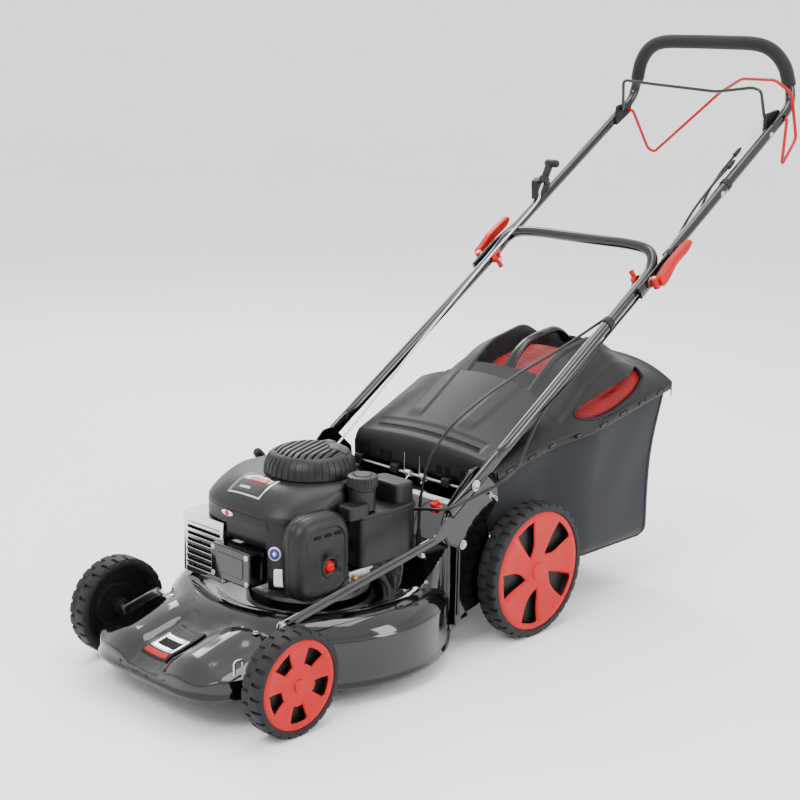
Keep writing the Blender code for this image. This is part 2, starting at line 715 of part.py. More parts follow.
def make_gearbox():
    """Drive gearbox round the rear shaft, with its belt pulley below."""
    case = piece("gearbox", box(-0.045, 0.045, 0.578, 0.652, 0.100, 0.160), "aluminium",
                 origin=REAR_PIVOT)
    soften(case, 0.010, 1)
    pulley = turned([(0.0, 0.078), (0.034, 0.078), (0.028, 0.086), (0.034, 0.094), (0.012, 0.094),
                     (0.012, 0.104),
                     (0.0, 0.104)], (0, 0.594, 0), count=20)
    bmesh.ops.remove_doubles(pulley, verts=pulley.verts, dist=1e-6)
    combine(case, [piece("pulley", pulley, "aluminium")])
    shaft = cylinder_tool("shaft", (-0.1, WHEELBASE, REAR_R), (0.1, WHEELBASE, REAR_R), AXLE_R + 0.0005)
    combine(case, [shaft], "DIFFERENCE")


def make_drive_belt():
    """V-belt from the crankshaft's pulley to the gearbox's."""
    front, back = Vector((0, DECK_Y, 0.108)), Vector((0, 0.594, 0.086))
    path = []
    for centre, radius, start in ((front, 0.0315, pi), (back, 0.0335, 0.0)):
        for i in range(9):
            angle = start + pi * i / 8
            path.append(centre + Vector((radius * cos(angle), radius * sin(angle), 0)))
    bm = bmesh.new()
    rings = []
    for i, point in enumerate(path):
        centre = front if i < 9 else back
        out = (point - centre).normalized() * 0.0035
        up = Vector((0, 0, 0.0035))
        rings.append([point - up * 0.7, point + out * 2 - up, point + out * 2 + up, point + up * 0.7])
    bridge(bm, rings, closed_ends=True)
    piece("drive_belt", bm, "rubber")


def make_link_rod():
    """Flat height link from the front crank back to the slotted guide by the bracket."""
    near, far = LINK_FRONT, LINK_REAR
    low = LINK_X + 0.0012
    run = (far - near).normalized()
    side = Vector((0, -run.z, run.y)) * 0.0085
    bend = near.lerp(far, 0.93)
    top = far + Vector((0, 0.012, 0.026))
    outline = [near - run * 0.009 - side, near - run * 0.009 + side, bend + side,
               top + Vector((0, -0.014, 0.004)), top + Vector((0, 0.002, 0.004)),
               far + Vector((0, 0.008, 0))
               - side * 0.3, bend + run * 0.010 - side]
    piece("link_rod", plate([(p.y, p.z) for p in outline], low, low + 0.0028), "gloss_black",
          origin=LINK_FRONT)


LEVER_Y, LEVER_Z, LEVER_X = 0.418, 0.196, -0.2050


def make_height_lever():
    """Cutting-height lever on the right side, with its grip."""
    top = Vector((LEVER_X, 0.332, 0.298))
    base = Vector((LEVER_X, LEVER_Y, LEVER_Z))
    lever = piece("height_lever", arm_plate(LEVER_X, base, top, 0.014, 0.003), "gloss_black",
                  origin=base)
    along = (top - base).normalized()
    grip = cylinder_tool("grip", top - along * 0.002, top + along * 0.042, 0.0095, 16)
    soften(grip, 0.003, 1)
    combine(lever, [grip])


def make_height_quadrant():
    """Toothed plate that holds the height lever, on the deck's right side."""
    centre = (LEVER_Y, LEVER_Z)
    outline = []
    for i in range(9):
        angle = radians(102 + i * 8.5)
        outline.append((centre[0] + 0.075 * cos(angle), centre[1] + 0.075 * sin(angle)))
    outline += [(centre[0] - 0.030, centre[1] + 0.010), (centre[0] - 0.010, centre[1] - 0.012),
                (centre[0] + 0.016, centre[1] - 0.012), (centre[0] + 0.020, centre[1] + 0.012)]
    piece("height_quadrant", plate(outline, -0.2026, -0.1996), "zinc")


# ---------------------------------------------------------------- handle brackets and flap
BRACKET_IN, BRACKET_T = 0.1920, 0.0030


def make_handle_bracket(label, side):
    """Side plate: holds the handle's foot, the flap's rod and the rear axle's pivot."""
    outline = [(0.438, 0.064), (0.438, 0.208), (0.400, 0.224), (0.396, 0.262), (0.408, 0.290),
               (0.468, 0.346), (0.492, 0.348), (0.512, 0.330),
               (0.545, 0.300), (0.548, 0.276), (0.520, 0.240), (0.530, 0.196), (0.572, 0.168),
               (0.578, 0.130),
               (0.552, 0.118), (0.500, 0.080), (0.458, 0.072), (0.442, 0.052)]
    low, high = sorted((side * BRACKET_IN, side * (BRACKET_IN + BRACKET_T)))
    made = piece("handle_bracket_" + label, plate(outline, low, high), "matt_black")
    holes = []
    for y, z, radius in ((REAR_PIVOT.y, REAR_PIVOT.z, 0.0066), (FLAP_Y, FLAP_Z, 0.0034)):
        holes.append(cylinder_tool("hole", (side * 0.18, y, z), (side * 0.21, y, z), radius, 16))
    combine(made, holes, "DIFFERENCE")
    combine(made, [pivot_bolt(side)])


def pivot_bolt(side):
    """Bolt that the lower handle's foot turns on, standing out of the bracket."""
    line = [(0.0, 0.0056), (0.0068, 0.0050), (0.0085, 0.0), (0.0040, 0.0), (0.0040, -0.0120),
            (0.0, -0.0120)]
    bm = turned(mirrored(line, side), (side * 0.2046, PIVOT_Y, PIVOT_Z), "X", 14)
    bmesh.ops.remove_doubles(bm, verts=bm.verts, dist=1e-6)
    return piece("bolt", bm, "zinc")


def make_flap_rod():
    """Rod that the flap and the bag hang on."""
    reach = Vector((0.1955, 0, 0))
    place = Vector((0, FLAP_Y, FLAP_Z))
    piece("flap_rod", rod(place - reach, place + reach, 0.0030), "zinc")


FLAP_HALF, FLAP_BACK = 0.1720, 0.722


def flap_height(x, y):
    """Top of the flap behind its front edge: slopes up to the rear, crowned across."""
    part = (y - 0.538) / (FLAP_BACK - 0.538)
    crown = (0.010 + 0.026 * part) * (1 - (x / FLAP_HALF) ** 2)
    return 0.340 + 0.082 * part + crown


def make_rear_flap():
    """Moulded flap over the bag's mouth: front face, sloping top and short side walls."""
    rings = []
    across = [-1.0, -0.96, -0.55, 0.0, 0.55, 0.96, 1.0]
    for part in across:
        x = part * FLAP_HALF
        drop = 0.010 if abs(part) == 1.0 else 0.0
        line = [(x, 0.5345, FLAP_Z + 0.0065), (x, 0.5335, 0.318 - drop),
                (x, 0.540, flap_height(x, 0.540) - drop)]
        for y in (0.600, 0.660, FLAP_BACK):
            line.append((x, y, flap_height(x, y) - drop))
        rings.append(line)
    flap = open_shell("rear_flap", rings, "matt_black", closed=False)
    thicken(flap, 0.0028)
    knuckles = []
    for x in (-0.150, -0.050, 0.085, 0.150):
        knuckle = piece("knuckle", box(x - 0.010, x + 0.010, 0.5200, 0.5370, FLAP_Z - 0.007,
                                       FLAP_Z + 0.012), "matt_black")
        knuckles.append(knuckle)
    combine(flap, knuckles)
    bore = cylinder_tool("bore", (-0.18, FLAP_Y, FLAP_Z), (0.18, FLAP_Y, FLAP_Z), 0.0034, 16)
    combine(flap, [bore], "DIFFERENCE")
    hang_on(flap, Vector((0, FLAP_Y, FLAP_Z)))


def hang_on(made, origin):
    """Move an object's origin to a point and keep its shape where it is."""
    shift = origin - made.location
    made.data.transform(Matrix.Translation(-shift))
    made.location = origin


def make_flap_spring(label, x):
    """Torsion spring round the flap's rod: coils and two legs."""
    turns, per, coil_r, wire = 5, 6, 0.0064, 0.00105
    path = [Vector((x, FLAP_Y - coil_r, FLAP_Z + 0.042))]
    for i in range(turns * per + 1):
        angle = pi - tau * i / per
        path.append(Vector((x + 0.0027 * i / per, FLAP_Y + coil_r * cos(angle),
                            FLAP_Z + coil_r * sin(angle))))
    path.append(path[-1] + Vector((0.001, -0.012, -0.007)))
    piece("flap_spring_" + label, swept(path, wire, 4), "zinc")


# ---------------------------------------------------------------- handle
def handle_side(side, points):
    """Points of one tube as (x, y, lift above the handle's line)."""
    return [Vector((side * x, y, on_handle(y, lift))) for x, y, lift in points]


def both_sides(points, middle):
    """A path up one side, across the middle and down the other, as one list."""
    near = handle_side(1, points)
    far = handle_side(-1, points)
    return near + middle + far[::-1]


def make_lower_handle():
    """Lower tubes with pressed feet, joined by a cross tube at the top."""
    points = [(0.2000, 0.412, 0.0), (0.2000, 0.526, 0.0), (0.2000, 0.560, 0.0), (0.2000, 0.740, 0.0),
              (0.2000, 0.955, 0.0), (0.1985, 0.985, 0.003), (0.190, 1.003, 0.012),
              (0.168, 1.011, 0.019)]
    cross = [Vector((0.120, 1.014, 0.702)), Vector((-0.120, 1.014, 0.702))]
    path = both_sides(points, cross)
    last = len(path) - 1
    pressed = {0: (0.37, 1.25), 1: (0.37, 1.25), last: (0.37, 1.25), last - 1: (0.37, 1.25)}
    tube = piece("lower_handle", swept(path, TUBE_R, 8, lambda i: pressed.get(i, (1, 1))),
                 "gloss_black",
                 origin=(0, PIVOT_Y, PIVOT_Z))
    holes = [cylinder_tool("hole", (side * 0.18, y, z), (side * 0.22, y, z), 0.0046, 12)
             for side in (-1, 1) for y, z in ((PIVOT_Y, PIVOT_Z), (CLAMP_Y, CLAMP_Z))]
    combine(tube, holes, "DIFFERENCE")


def make_upper_handle():
    """Upper tubes with pressed ends at the clamps, turned up into a loop."""
    foot = 0.2160
    points = [(foot, 0.930, 0.0), (foot, 0.990, 0.0), (0.2140, 1.015, 0.0), (UPPER_X, 1.055, 0.0),
              (UPPER_X, 1.250, 0.0), (UPPER_X, 1.425, 0.0)]
    loop = grip_points()
    near = handle_side(1, points) + [Vector(p) for p in loop]
    far = [Vector((-p.x, p.y, p.z)) for p in near]
    path = near + far[::-1]
    last = len(path) - 1
    flat, part = (0.37, 1.25), (0.55, 1.12)
    pressed = {0: flat, 1: flat, 2: part, last: flat, last - 1: flat, last - 2: part}
    tube = piece("upper_handle", swept(path, TUBE_R, 8, lambda i: pressed.get(i, (1, 1))),
                 "gloss_black",
                 origin=(0, CLAMP_Y, CLAMP_Z))
    combine(tube, [bail_plate(side) for side in (-1, 1)])
    holes = [cylinder_tool("hole", (side * 0.20, CLAMP_Y, CLAMP_Z), (side * 0.24, CLAMP_Y, CLAMP_Z),
                           0.0046, 12)
             for side in (-1, 1)]
    holes += [cylinder_tool("hole", (side * 0.18, y, z), (side * deep, y, z), BAIL_R + 0.0005, 14)
              for side in (-1, 1) for y, z, deep in ((BAIL_Y, BAIL_Z, 0.1985), (DRIVE_Y, DRIVE_Z,
                                                                                0.2250))]
    combine(tube, holes, "DIFFERENCE")


def grip_points():
    """The near half of the loop that the hands hold, from the tube up to the middle."""
    return [(0.2070, 1.445, 0.9650), (0.2050, 1.4585, 0.9850), (0.2000, 1.4610, 1.0120),
            (0.1870, 1.4560, 1.0550),
            (0.1600, 1.4500, 1.0860), (0.1200, 1.4460, 1.1000), (0.0500, 1.4450, 1.1020)]


def sleeve(path, inner, outer, count=9):
    """A hollow round sleeve along a path."""
    points, frames = frames_along(path)
    bm = bmesh.new()

    def ring(i, radius):
        _, side, up = frames[i]
        return [points[i] + side * (radius * cos(tau * k / count)) + up * (radius * sin(tau * k / count))
                for k in range(count)]

    order = list(range(len(points)))
    bridge(bm, [ring(i, outer) for i in order] + [ring(i, inner) for i in order[::-1]],
           closed_ends=True)
    return bm


def make_foam_grip():
    """Foam sleeve round the loop."""
    near = [Vector(p) for p in grip_points()[2:]]
    far = [Vector((-p.x, p.y, p.z)) for p in near]
    piece("foam_grip", sleeve(near + far[::-1], TUBE_R * 1.07 + CLEAR, 0.0165), "foam",
          origin=(0, CLAMP_Y, CLAMP_Z))


def make_wing_nut(label, side):
    """Clamp bolt through both tubes, with its red wing nut on the inside."""
    inner = side * 0.1880
    nut = piece("wing_nut_" + label, rod((inner, CLAMP_Y, CLAMP_Z), (side * 0.1750, CLAMP_Y,
                                                                     CLAMP_Z), 0.0085, 16),
                "red", origin=(inner, CLAMP_Y, CLAMP_Z))
    bolt = cylinder_tool("bolt", (side * 0.1800, CLAMP_Y, CLAMP_Z),
                         (side * 0.2215, CLAMP_Y, CLAMP_Z), 0.0040, 14)
    ears = []
    for turn in (-1, 1):
        tip = Vector((side * 0.1725, CLAMP_Y, CLAMP_Z)) + (OUT_OF * 0.019 + ALONG * 0.006) * turn
        ears.append(cylinder_tool("ear", (side * 0.1810, CLAMP_Y, CLAMP_Z), tip, 0.0042, 10))
    combine(nut, [bolt] + ears)


QUICK_X = 0.2300


def make_quick_lever(label, side):
    """Red cam lever that locks the upper tube, lying along it when it is closed."""
    pin = Vector((side * QUICK_X, CLAMP_Y, CLAMP_Z))
    head = piece("quick_lever_" + label, rod(pin - OUT_OF * 0.0120, pin + OUT_OF * 0.0120, 0.0080,
                                             12), "red",
                 origin=pin)
    hub = pin + Vector((side * 0.004, 0, 0))
    middle = pin + ALONG * 0.050 + OUT_OF * 0.010 + Vector((side * 0.010, 0, 0))
    tip = pin + ALONG * 0.118 + OUT_OF * 0.006 + Vector((side * 0.010, 0, 0))
    path = curve_through([hub, middle, tip], 3)
    last = len(path) - 1
    handle = piece("arm", swept(path, 0.0100, 8, lambda i: (0.55, 1.10 - 0.25 * i / last)), "red")
    combine(head, [handle])


BAIL_Y = 1.392
BAIL_Z = on_handle(BAIL_Y, 0.0170)
DRIVE_Y = 1.420
DRIVE_Z = on_handle(DRIVE_Y, 0.0)


def bail_plate(side):
    """Plate inside an upper tube, with the pin holes of both bails."""
    low, high = sorted((side * 0.1905, side * 0.1990))
    y0, y1 = BAIL_Y - 0.014, DRIVE_Y + 0.012
    outline = [(y0, on_handle(y0, -0.006)), (y1, on_handle(y1, -0.010)), (y1, on_handle(y1, 0.010)),
               (BAIL_Y + 0.006, BAIL_Z + 0.012), (BAIL_Y - 0.012, BAIL_Z + 0.008)]
    return piece("plate", plate(outline, low, high), "matt_black")


def make_stop_bail():
    """Black bail that stops the engine when it is let go."""
    pin_x, leg_x = 0.1955, 0.1855
    corners = [(pin_x, BAIL_Y, BAIL_Z), (leg_x, BAIL_Y, BAIL_Z), (0.1800, 1.381, 1.004),
               (0.160, 1.380, 1.010),
               (0.070, 1.380, 0.998), (-0.100, 1.380, 1.008), (-0.1800, 1.381, 1.014),
               (-leg_x, BAIL_Y, BAIL_Z), (-pin_x, BAIL_Y, BAIL_Z)]
    piece("stop_bail", swept(rounded(corners, 0.010, 1), BAIL_R, 6), "gloss_black",
          origin=(0, BAIL_Y, BAIL_Z))


def make_drive_bail():
    """Red bail that engages the drive; its bar crosses over to the outside of the left tube."""
    corners = [(-0.1955, DRIVE_Y, DRIVE_Z), (-0.1780, DRIVE_Y, DRIVE_Z), (-0.1760, 1.485, 0.856),
               (-0.1680, 1.500, 0.848), (0.015, 1.478, 0.992), (0.095, 1.438, 1.0260),
               (0.200, 1.402, 1.0270),
               (0.232, 1.418, 1.000), (0.234, 1.446, 0.905), (0.230, 1.402, 0.850),
               (0.2240, DRIVE_Y, DRIVE_Z),
               (0.2195, DRIVE_Y, DRIVE_Z)]
    piece("drive_bail", swept(rounded(corners, 0.012, 2), BAIL_R, 6), "red",
          origin=(0, DRIVE_Y, DRIVE_Z))


GUIDE_Y = 1.112
GUIDE = Vector((-0.1830, GUIDE_Y, on_handle(GUIDE_Y, 0.050)))
PULL = Vector((0, cos(radians(62)), sin(radians(62))))


def make_rope_guide():
    """Eye for the starter rope, on a saddle on the right-hand tube."""
    y0, y1 = 1.112, 1.156
    x0, x1 = -UPPER_X - 0.008, -UPPER_X + 0.008
    outline = [(y0, on_handle(y0, TUBE_R + CLEAR)), (y1, on_handle(y1, TUBE_R + CLEAR)),
               (y1, on_handle(y1, TUBE_R + 0.009)), (y0 + 0.012, GUIDE.z + 0.004),
               (y0 - 0.004, GUIDE.z - 0.004)]
    made = piece("rope_guide", plate(outline, x0, x1), "matt_black", origin=(0, CLAMP_Y, CLAMP_Z))
    eye = cylinder_tool("eye", GUIDE - PULL * 0.007, GUIDE + PULL * 0.007, 0.0120, 18)
    neck = cylinder_tool("neck", GUIDE, (x0 + 0.008, y0 + 0.008, GUIDE.z - 0.006), 0.0055, 10)
    combine(made, [neck, eye])
    way = cylinder_tool("way", GUIDE - PULL * 0.02, GUIDE + PULL * 0.02, 0.0045, 14)
    combine(made, [way], "DIFFERENCE")


def make_starter_grip():
    """T grip of the recoil starter, resting on its guide."""
    base = GUIDE + PULL * 0.0075
    stem = piece("starter_grip", rod(base, base + PULL * 0.030, 0.0085, 16), "matt_black", origin=base)
    across = Vector((1, 0, 0))
    top = base + PULL * 0.033
    bar = cylinder_tool("bar", top - across * 0.011, top + across * 0.022, 0.0085, 16)
    soften(bar, 0.003, 1)
    combine(stem, [bar])


def make_starter_rope():
    """Rope from the recoil cover to the eye on the handle."""
    start = Vector((-0.044, 0.3530, 0.364))
    end = GUIDE + PULL * 0.0055
    points = [start, start + Vector((-0.004, 0.030, 0.010)),
              start.lerp(end, 0.35) + Vector((0, 0, -0.012)),
              start.lerp(end, 0.7) + Vector((0, 0, -0.020)), GUIDE - PULL * 0.060,
              GUIDE - PULL * 0.025, end]
    piece("starter_rope", swept(curve_through(points, 3), 0.0020, 5), "rope")


def along_tubes(points):
    """Cable points as (x, y, lift above the handle's line)."""
    return [Vector((x, y, on_handle(y, lift))) for x, y, lift in points]


def make_cables():
    """The drive cable out of the deck and the engine-stop cable, up to the bails."""
    drive = [(0.1300, 0.4050, 0.2030), (0.1300, 0.4050, 0.2400), (0.1310, 0.4080, 0.2950),
             (0.1380, 0.4200, 0.3600),
             (0.1480, 0.4600, 0.4150), (0.1560, 0.5300, 0.4560), (0.1660, 0.6300, 0.4960),
             (0.1750, 0.7400, 0.5300)]
    drive += along_tubes([(0.1845, 0.8480, 0.0030), (0.1880, 0.9000, -0.0110),
                          (0.1960, 0.9350, -0.0162),
                          (0.1960, 1.0400, -0.0162), (0.1890, 1.0900, -0.0070),
                          (0.1890, 1.1400, 0.0070),
                          (0.1930, 1.2000, 0.0150), (0.1960, 1.2600, 0.0150)])
    piece("drive_cable", swept(curve_through(drive, 2), 0.0028, 5), "sheath")
    stop = [(0.1200, 0.3980, 0.2700), (0.1700, 0.3860, 0.2840), (0.1980, 0.3830, 0.2900),
            (0.2140, 0.4000, 0.2950),
            (0.2190, 0.4500, 0.3040), (0.2190, 0.5550, 0.3250), (0.2160, 0.6050, 0.3800),
            (0.2130, 0.6500, 0.4280)]
    stop += along_tubes([(0.2040, 0.7600, -0.0190), (0.2040, 0.8480, -0.0162),
                         (0.2045, 1.0400, -0.0165),
                         (0.2040, 1.0950, -0.0165), (0.1950, 1.1400, -0.0130), (0.1860, 1.1850, 0.0000),
                         (0.1850, 1.2300, 0.0110), (0.1870, 1.2950, 0.0150)])
    piece("stop_cable", swept(curve_through(stop, 2), 0.0028, 5), "sheath")


# ---------------------------------------------------------------- grass bag
def bag_rim(y):
    """Height of the joint between the bag's lid and its fabric."""
    return 0.318 + 0.203 * (y - 0.545)


def bag_half(y):
    """Half the bag's width: narrow between the wheels, full behind them."""
    return 0.1760 + 0.0270 * ease(y, 0.700, 0.830)


def bag_floor(y):
    """Height of the fabric's floor: steps down behind the axle."""
    return 0.196 - 0.101 * ease(y, 0.655, 0.800)


def make_bag_fabric():
    """Fabric tub, open at the top under the lid and in front towards the chute."""
    rings = []
    for y in (BAG_FRONT, 0.655, 0.690, 0.728, 0.765, 0.800, 0.910, 1.020):
        half, rim, floor = bag_half(y), bag_rim(y) - 0.002, bag_floor(y)
        lean = 0.036 * (y - BAG_FRONT) / (1.020 - BAG_FRONT)
        turn = 0.035
        line = [(half, rim), (half - 0.002, (rim + floor) / 2), (half - 0.004, floor + turn),
                (half - 0.014, floor + 0.010), (half - turn, floor), (half * 0.3, floor - 0.001)]
        line += [(-x, z) for x, z in line[::-1]]
        rings.append([(x, y + lean * (z - floor) / (rim - floor), z) for x, z in line])
    bm = bmesh.new()
    rows = bridge(bm, rings, closed_ring=False, caps=False)
    bm.faces.new(rows[-1])
    made = piece("bag_fabric", bm, "fabric", origin=(0, BAG_FRONT, bag_rim(BAG_FRONT)))
    turn_outward(made, Vector((0, 1, 0)))
    thicken(made, 0.0025)


GRIP_HALF = 0.046
RECESS = (0.790, 0.985)


def lid_top(x, y):
    """Top of the bag's lid, with the hand recess in its middle."""
    half = bag_half(y) + 0.008
    crown = 0.022 + 0.038 * ease(y, 0.56, 0.72) + 0.062 * ease(y, 0.715, 0.86)
    crown -= 0.080 * ease(y, 0.93, 1.065)
    height = bag_rim(y) + crown * (1 - abs(x / half) ** 3.2)
    inside = ease(y, RECESS[0], RECESS[0] + 0.022) * (1 - ease(y, RECESS[1] - 0.022, RECESS[1]))
    inside *= 1 - ease(abs(x), GRIP_HALF, GRIP_HALF + 0.010)
    return height - 0.042 * inside


def make_bag_lid():
    """Moulded lid of the bag, a shell with a recess under its carrying grip."""
    stations = [0.552, 0.620, 0.712, 0.750, 0.790, 0.812, 0.890, 0.963, 0.985, 1.030, 1.068]
    shares = [-1.0, -1.0, -0.93, -0.75, -0.52, -0.275, -0.225, 0.0, 0.225, 0.275, 0.52, 0.75, 0.93,
              1.0, 1.0]
    rings = []
    for y in stations:
        half = bag_half(y) + 0.008
        line = []
        for i, share in enumerate(shares):
            lip = 0.016 if i in (0, len(shares) - 1) else 0.0
            line.append((share * half, y, lid_top(share * half, y) - lip))
        rings.append(line)
    last = rings[-1]
    rings.append([(x, y + 0.0015, min(z, bag_rim(y)) - 0.016) for x, y, z in last])
    made = open_shell("bag_lid", rings, "matt_black", closed=False)
    thicken(made, 0.0026)
    combine(made, [bag_grip()])
    hang_on(made, Vector((0, BAG_FRONT, bag_rim(BAG_FRONT))))


def bag_grip():
    """Carrying grip over the recess: an arched bar along the bag's middle."""
    y0, y1 = RECESS[0] + 0.002, RECESS[1] - 0.004
    path = []
    for i in range(9):
        y = y0 + (y1 - y0) * i / 8
        path.append(Vector((0, y, lid_top(GRIP_HALF + 0.012, y) + 0.0080 * sin(pi * i / 8) - 0.004)))
    path[0].z = lid_top(0, RECESS[0] - 0.004) - 0.0105
    path[-1].z = lid_top(0, RECESS[1] + 0.004) - 0.0105
    return piece("grip", swept(path, 0.0085, 8, lambda i: (1.3, 0.75)), "matt_black")


def make_bag_inlay():
    """Red panel on the floor of the recess under the grip."""
    rings = []
    for y in (0.812, 0.890, 0.963):
        side_x = 0.225 * (bag_half(y) + 0.008)
        middle, side = lid_top(0, y), lid_top(side_x, y)
        line = []
        for x, rise in ((-0.036, 0.0004), (0, 0.0004), (0.036, 0.0004), (0.036, 0.0028), (0, 0.0028),
                        (-0.036, 0.0028)):
            line.append((x, y, middle + (side - middle) * abs(x) / side_x + rise))
        rings.append(line)
    bm = bmesh.new()
    bridge(bm, rings)
    piece("bag_inlay", bm, "red", origin=(0, BAG_FRONT, bag_rim(BAG_FRONT)))


# ---------------------------------------------------------------- the whole mower
make_deck()
make_crankcase()
make_cylinder()
make_valve_cover()
make_muffler()
make_muffler_guard()
make_blower_housing()
make_recoil_cover()
make_air_filter_cover()
make_primer()
make_carburettor()
make_fuel_tank()
make_fuel_cap()
make_crank_parts()
for wheel_label, wheel_side in (("left", 1), ("right", -1)):
    make_wheel("front_" + wheel_label, wheel_side * FRONT_X, 0, FRONT_R, FRONT_TRIM_R)
    make_wheel("rear_" + wheel_label, wheel_side * REAR_X, WHEELBASE, REAR_R, REAR_TRIM_R)
    make_handle_bracket(wheel_label, wheel_side)
    make_wing_nut(wheel_label, wheel_side)
    make_quick_lever(wheel_label, wheel_side)
make_front_axle()
make_rear_axle()
make_gearbox()
make_drive_belt()
make_link_rod()
make_height_lever()
make_height_quadrant()
make_flap_rod()
make_rear_flap()
make_flap_spring("left", 0.020)
make_flap_spring("right", -0.020)
make_lower_handle()
make_upper_handle()
make_foam_grip()
make_stop_bail()
make_drive_bail()
make_rope_guide()
make_starter_grip()
make_starter_rope()
make_cables()
make_bag_fabric()
make_bag_lid()
make_bag_inlay()
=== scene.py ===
import json
import bpy
import bmesh
from math import atan2, cos, hypot, pi, radians, sin, sqrt, tau
from mathutils import Matrix, Vector


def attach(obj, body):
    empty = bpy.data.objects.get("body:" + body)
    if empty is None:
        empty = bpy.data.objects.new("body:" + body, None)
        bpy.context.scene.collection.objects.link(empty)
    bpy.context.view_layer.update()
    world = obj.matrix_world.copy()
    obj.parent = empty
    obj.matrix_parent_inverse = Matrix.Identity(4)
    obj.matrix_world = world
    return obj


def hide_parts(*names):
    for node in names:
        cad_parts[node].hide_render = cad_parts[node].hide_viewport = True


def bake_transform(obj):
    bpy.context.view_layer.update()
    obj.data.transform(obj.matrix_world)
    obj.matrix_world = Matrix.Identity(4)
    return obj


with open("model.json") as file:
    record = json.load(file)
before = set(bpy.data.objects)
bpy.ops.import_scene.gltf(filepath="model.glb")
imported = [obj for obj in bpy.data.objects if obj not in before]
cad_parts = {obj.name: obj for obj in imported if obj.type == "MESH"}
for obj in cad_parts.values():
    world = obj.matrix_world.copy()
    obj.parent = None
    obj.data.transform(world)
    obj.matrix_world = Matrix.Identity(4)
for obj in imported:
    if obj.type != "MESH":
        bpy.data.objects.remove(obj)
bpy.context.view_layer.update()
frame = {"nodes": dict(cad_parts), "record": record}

# Everything is laid out in metres from the ground below the front wheels' shaft, x to the mower's
# left and y to its rear, and then moved by SHIFT into the CAD's frame.
SHIFT = Vector((0, -0.6888, 0))
DECK_Y, DECK_R = 0.257, 0.255
FRONT_R, REAR_R, REAR_Y = 0.09, 0.13, 0.618
COWL_IN = 0.079                     # the blower housing's top starts at this radius
TUBE_R, CABLE_R = 0.011, 0.0028
WINDOWS, COLUMNS = 5, 8             # of a wheel's trim, and the mesh columns in a third of a window
SLOPE, PIVOT_Y, PIVOT_Z, CLAMP_Y = 0.663, 0.4735, 0.318, 0.962
ALONG = Vector((0, 1, SLOPE)).normalized()
OUT_OF = Vector((0, -ALONG.z, ALONG.y))


def on_handle(y, lift=0.0):
    return PIVOT_Z + SLOPE * (y - PIVOT_Y) + lift * hypot(1, SLOPE)


CLAMP_Z = on_handle(CLAMP_Y)


# ---------------------------------------------------------------- materials
M = {}


def add_node(tree, kind, vector=None, **values):
    """A shader node with some inputs set; vector is what its Vector input reads."""
    made = tree.nodes.new("ShaderNode" + kind)
    for key, value in values.items():
        made.inputs[key.replace("_", " ")].default_value = value
    if vector:
        tree.links.new(vector, made.inputs["Vector"])
    return made


def add_bump(tree, height, strength, distance):
    bump = add_node(tree, "Bump", Strength=strength, Distance=distance)
    tree.links.new(height, bump.inputs["Height"])
    tree.links.new(bump.outputs["Normal"], tree.nodes["Principled BSDF"].inputs["Normal"])


def material(name, colour, rough, metal=0.0, coat=0.0, grain=0.0, scale=600, mottle=0.25,
        patches=14, sheen=0.0, specular=0.5):
    """Moulded, painted or metal surface: fine grain, and slow changes of colour and gloss."""
    made = M[name] = bpy.data.materials.new(name)
    made.use_nodes = True
    tree = made.node_tree
    shader = tree.nodes["Principled BSDF"]
    for key, value in (("Metallic", metal), ("Coat Weight", coat), ("Coat Roughness", 0.04),
            ("Sheen Weight", sheen), ("Specular IOR Level", specular)):
        shader.inputs[key].default_value = value
    place = add_node(tree, "TexCoord").outputs["Object"]
    slow = add_node(tree, "TexNoise", place, Scale=patches, Detail=5)
    shade = add_node(tree, "ValToRGB")
    for element, at, share in zip(shade.color_ramp.elements, (0.3, 0.72), (1 - mottle, 1 + mottle)):
        element.position = at
        element.color = [min(1.0, c * share) for c in colour] + [1]
    tree.links.new(slow.outputs["Fac"], shade.inputs["Fac"])
    tree.links.new(shade.outputs["Color"], shader.inputs["Base Color"])
    gloss = add_node(tree, "MapRange", To_Min=rough * 0.82, To_Max=min(1.0, rough * 1.2))
    tree.links.new(slow.outputs["Fac"], gloss.inputs["Value"])
    tree.links.new(gloss.outputs["Result"], shader.inputs["Roughness"])
    if grain:
        fine = add_node(tree, "TexNoise", place, Scale=scale, Detail=3)
        add_bump(tree, fine.outputs["Fac"], grain, 0.0006)
    return made


def woven(name, dark, light, pitch, rough, strength, sheen=0.3):
    """Woven cloth or mesh: crossing threads in colour and bump, over slow wrinkles of shade."""
    tree = material(name, dark, rough, mottle=0.2, patches=9, sheen=sheen, specular=0.3).node_tree
    place = add_node(tree, "TexCoord").outputs["Object"]
    turn = add_node(tree, "Mapping", place, Rotation=(0, 0, radians(45)))
    cross = add_node(tree, "Math")
    cross.operation = "MULTIPLY"
    for n, axis in enumerate("XZ"):
        wave = add_node(tree, "TexWave", turn.outputs["Vector"], Scale=0.314 / pitch,
            Distortion=0.4)
        wave.bands_direction = axis
        tree.links.new(wave.outputs["Fac"], cross.inputs[n])
    tint = add_node(tree, "Mix")
    tint.data_type = "RGBA"
    base = tree.nodes["Principled BSDF"].inputs["Base Color"]
    tree.links.new(cross.outputs[0], tint.inputs["Factor"])
    tree.links.new(base.links[0].from_socket, tint.inputs["A"])
    tint.inputs["B"].default_value = list(light) + [1]
    tree.links.new(tint.outputs["Result"], base)
    add_bump(tree, cross.outputs[0], strength, pitch * 0.4)


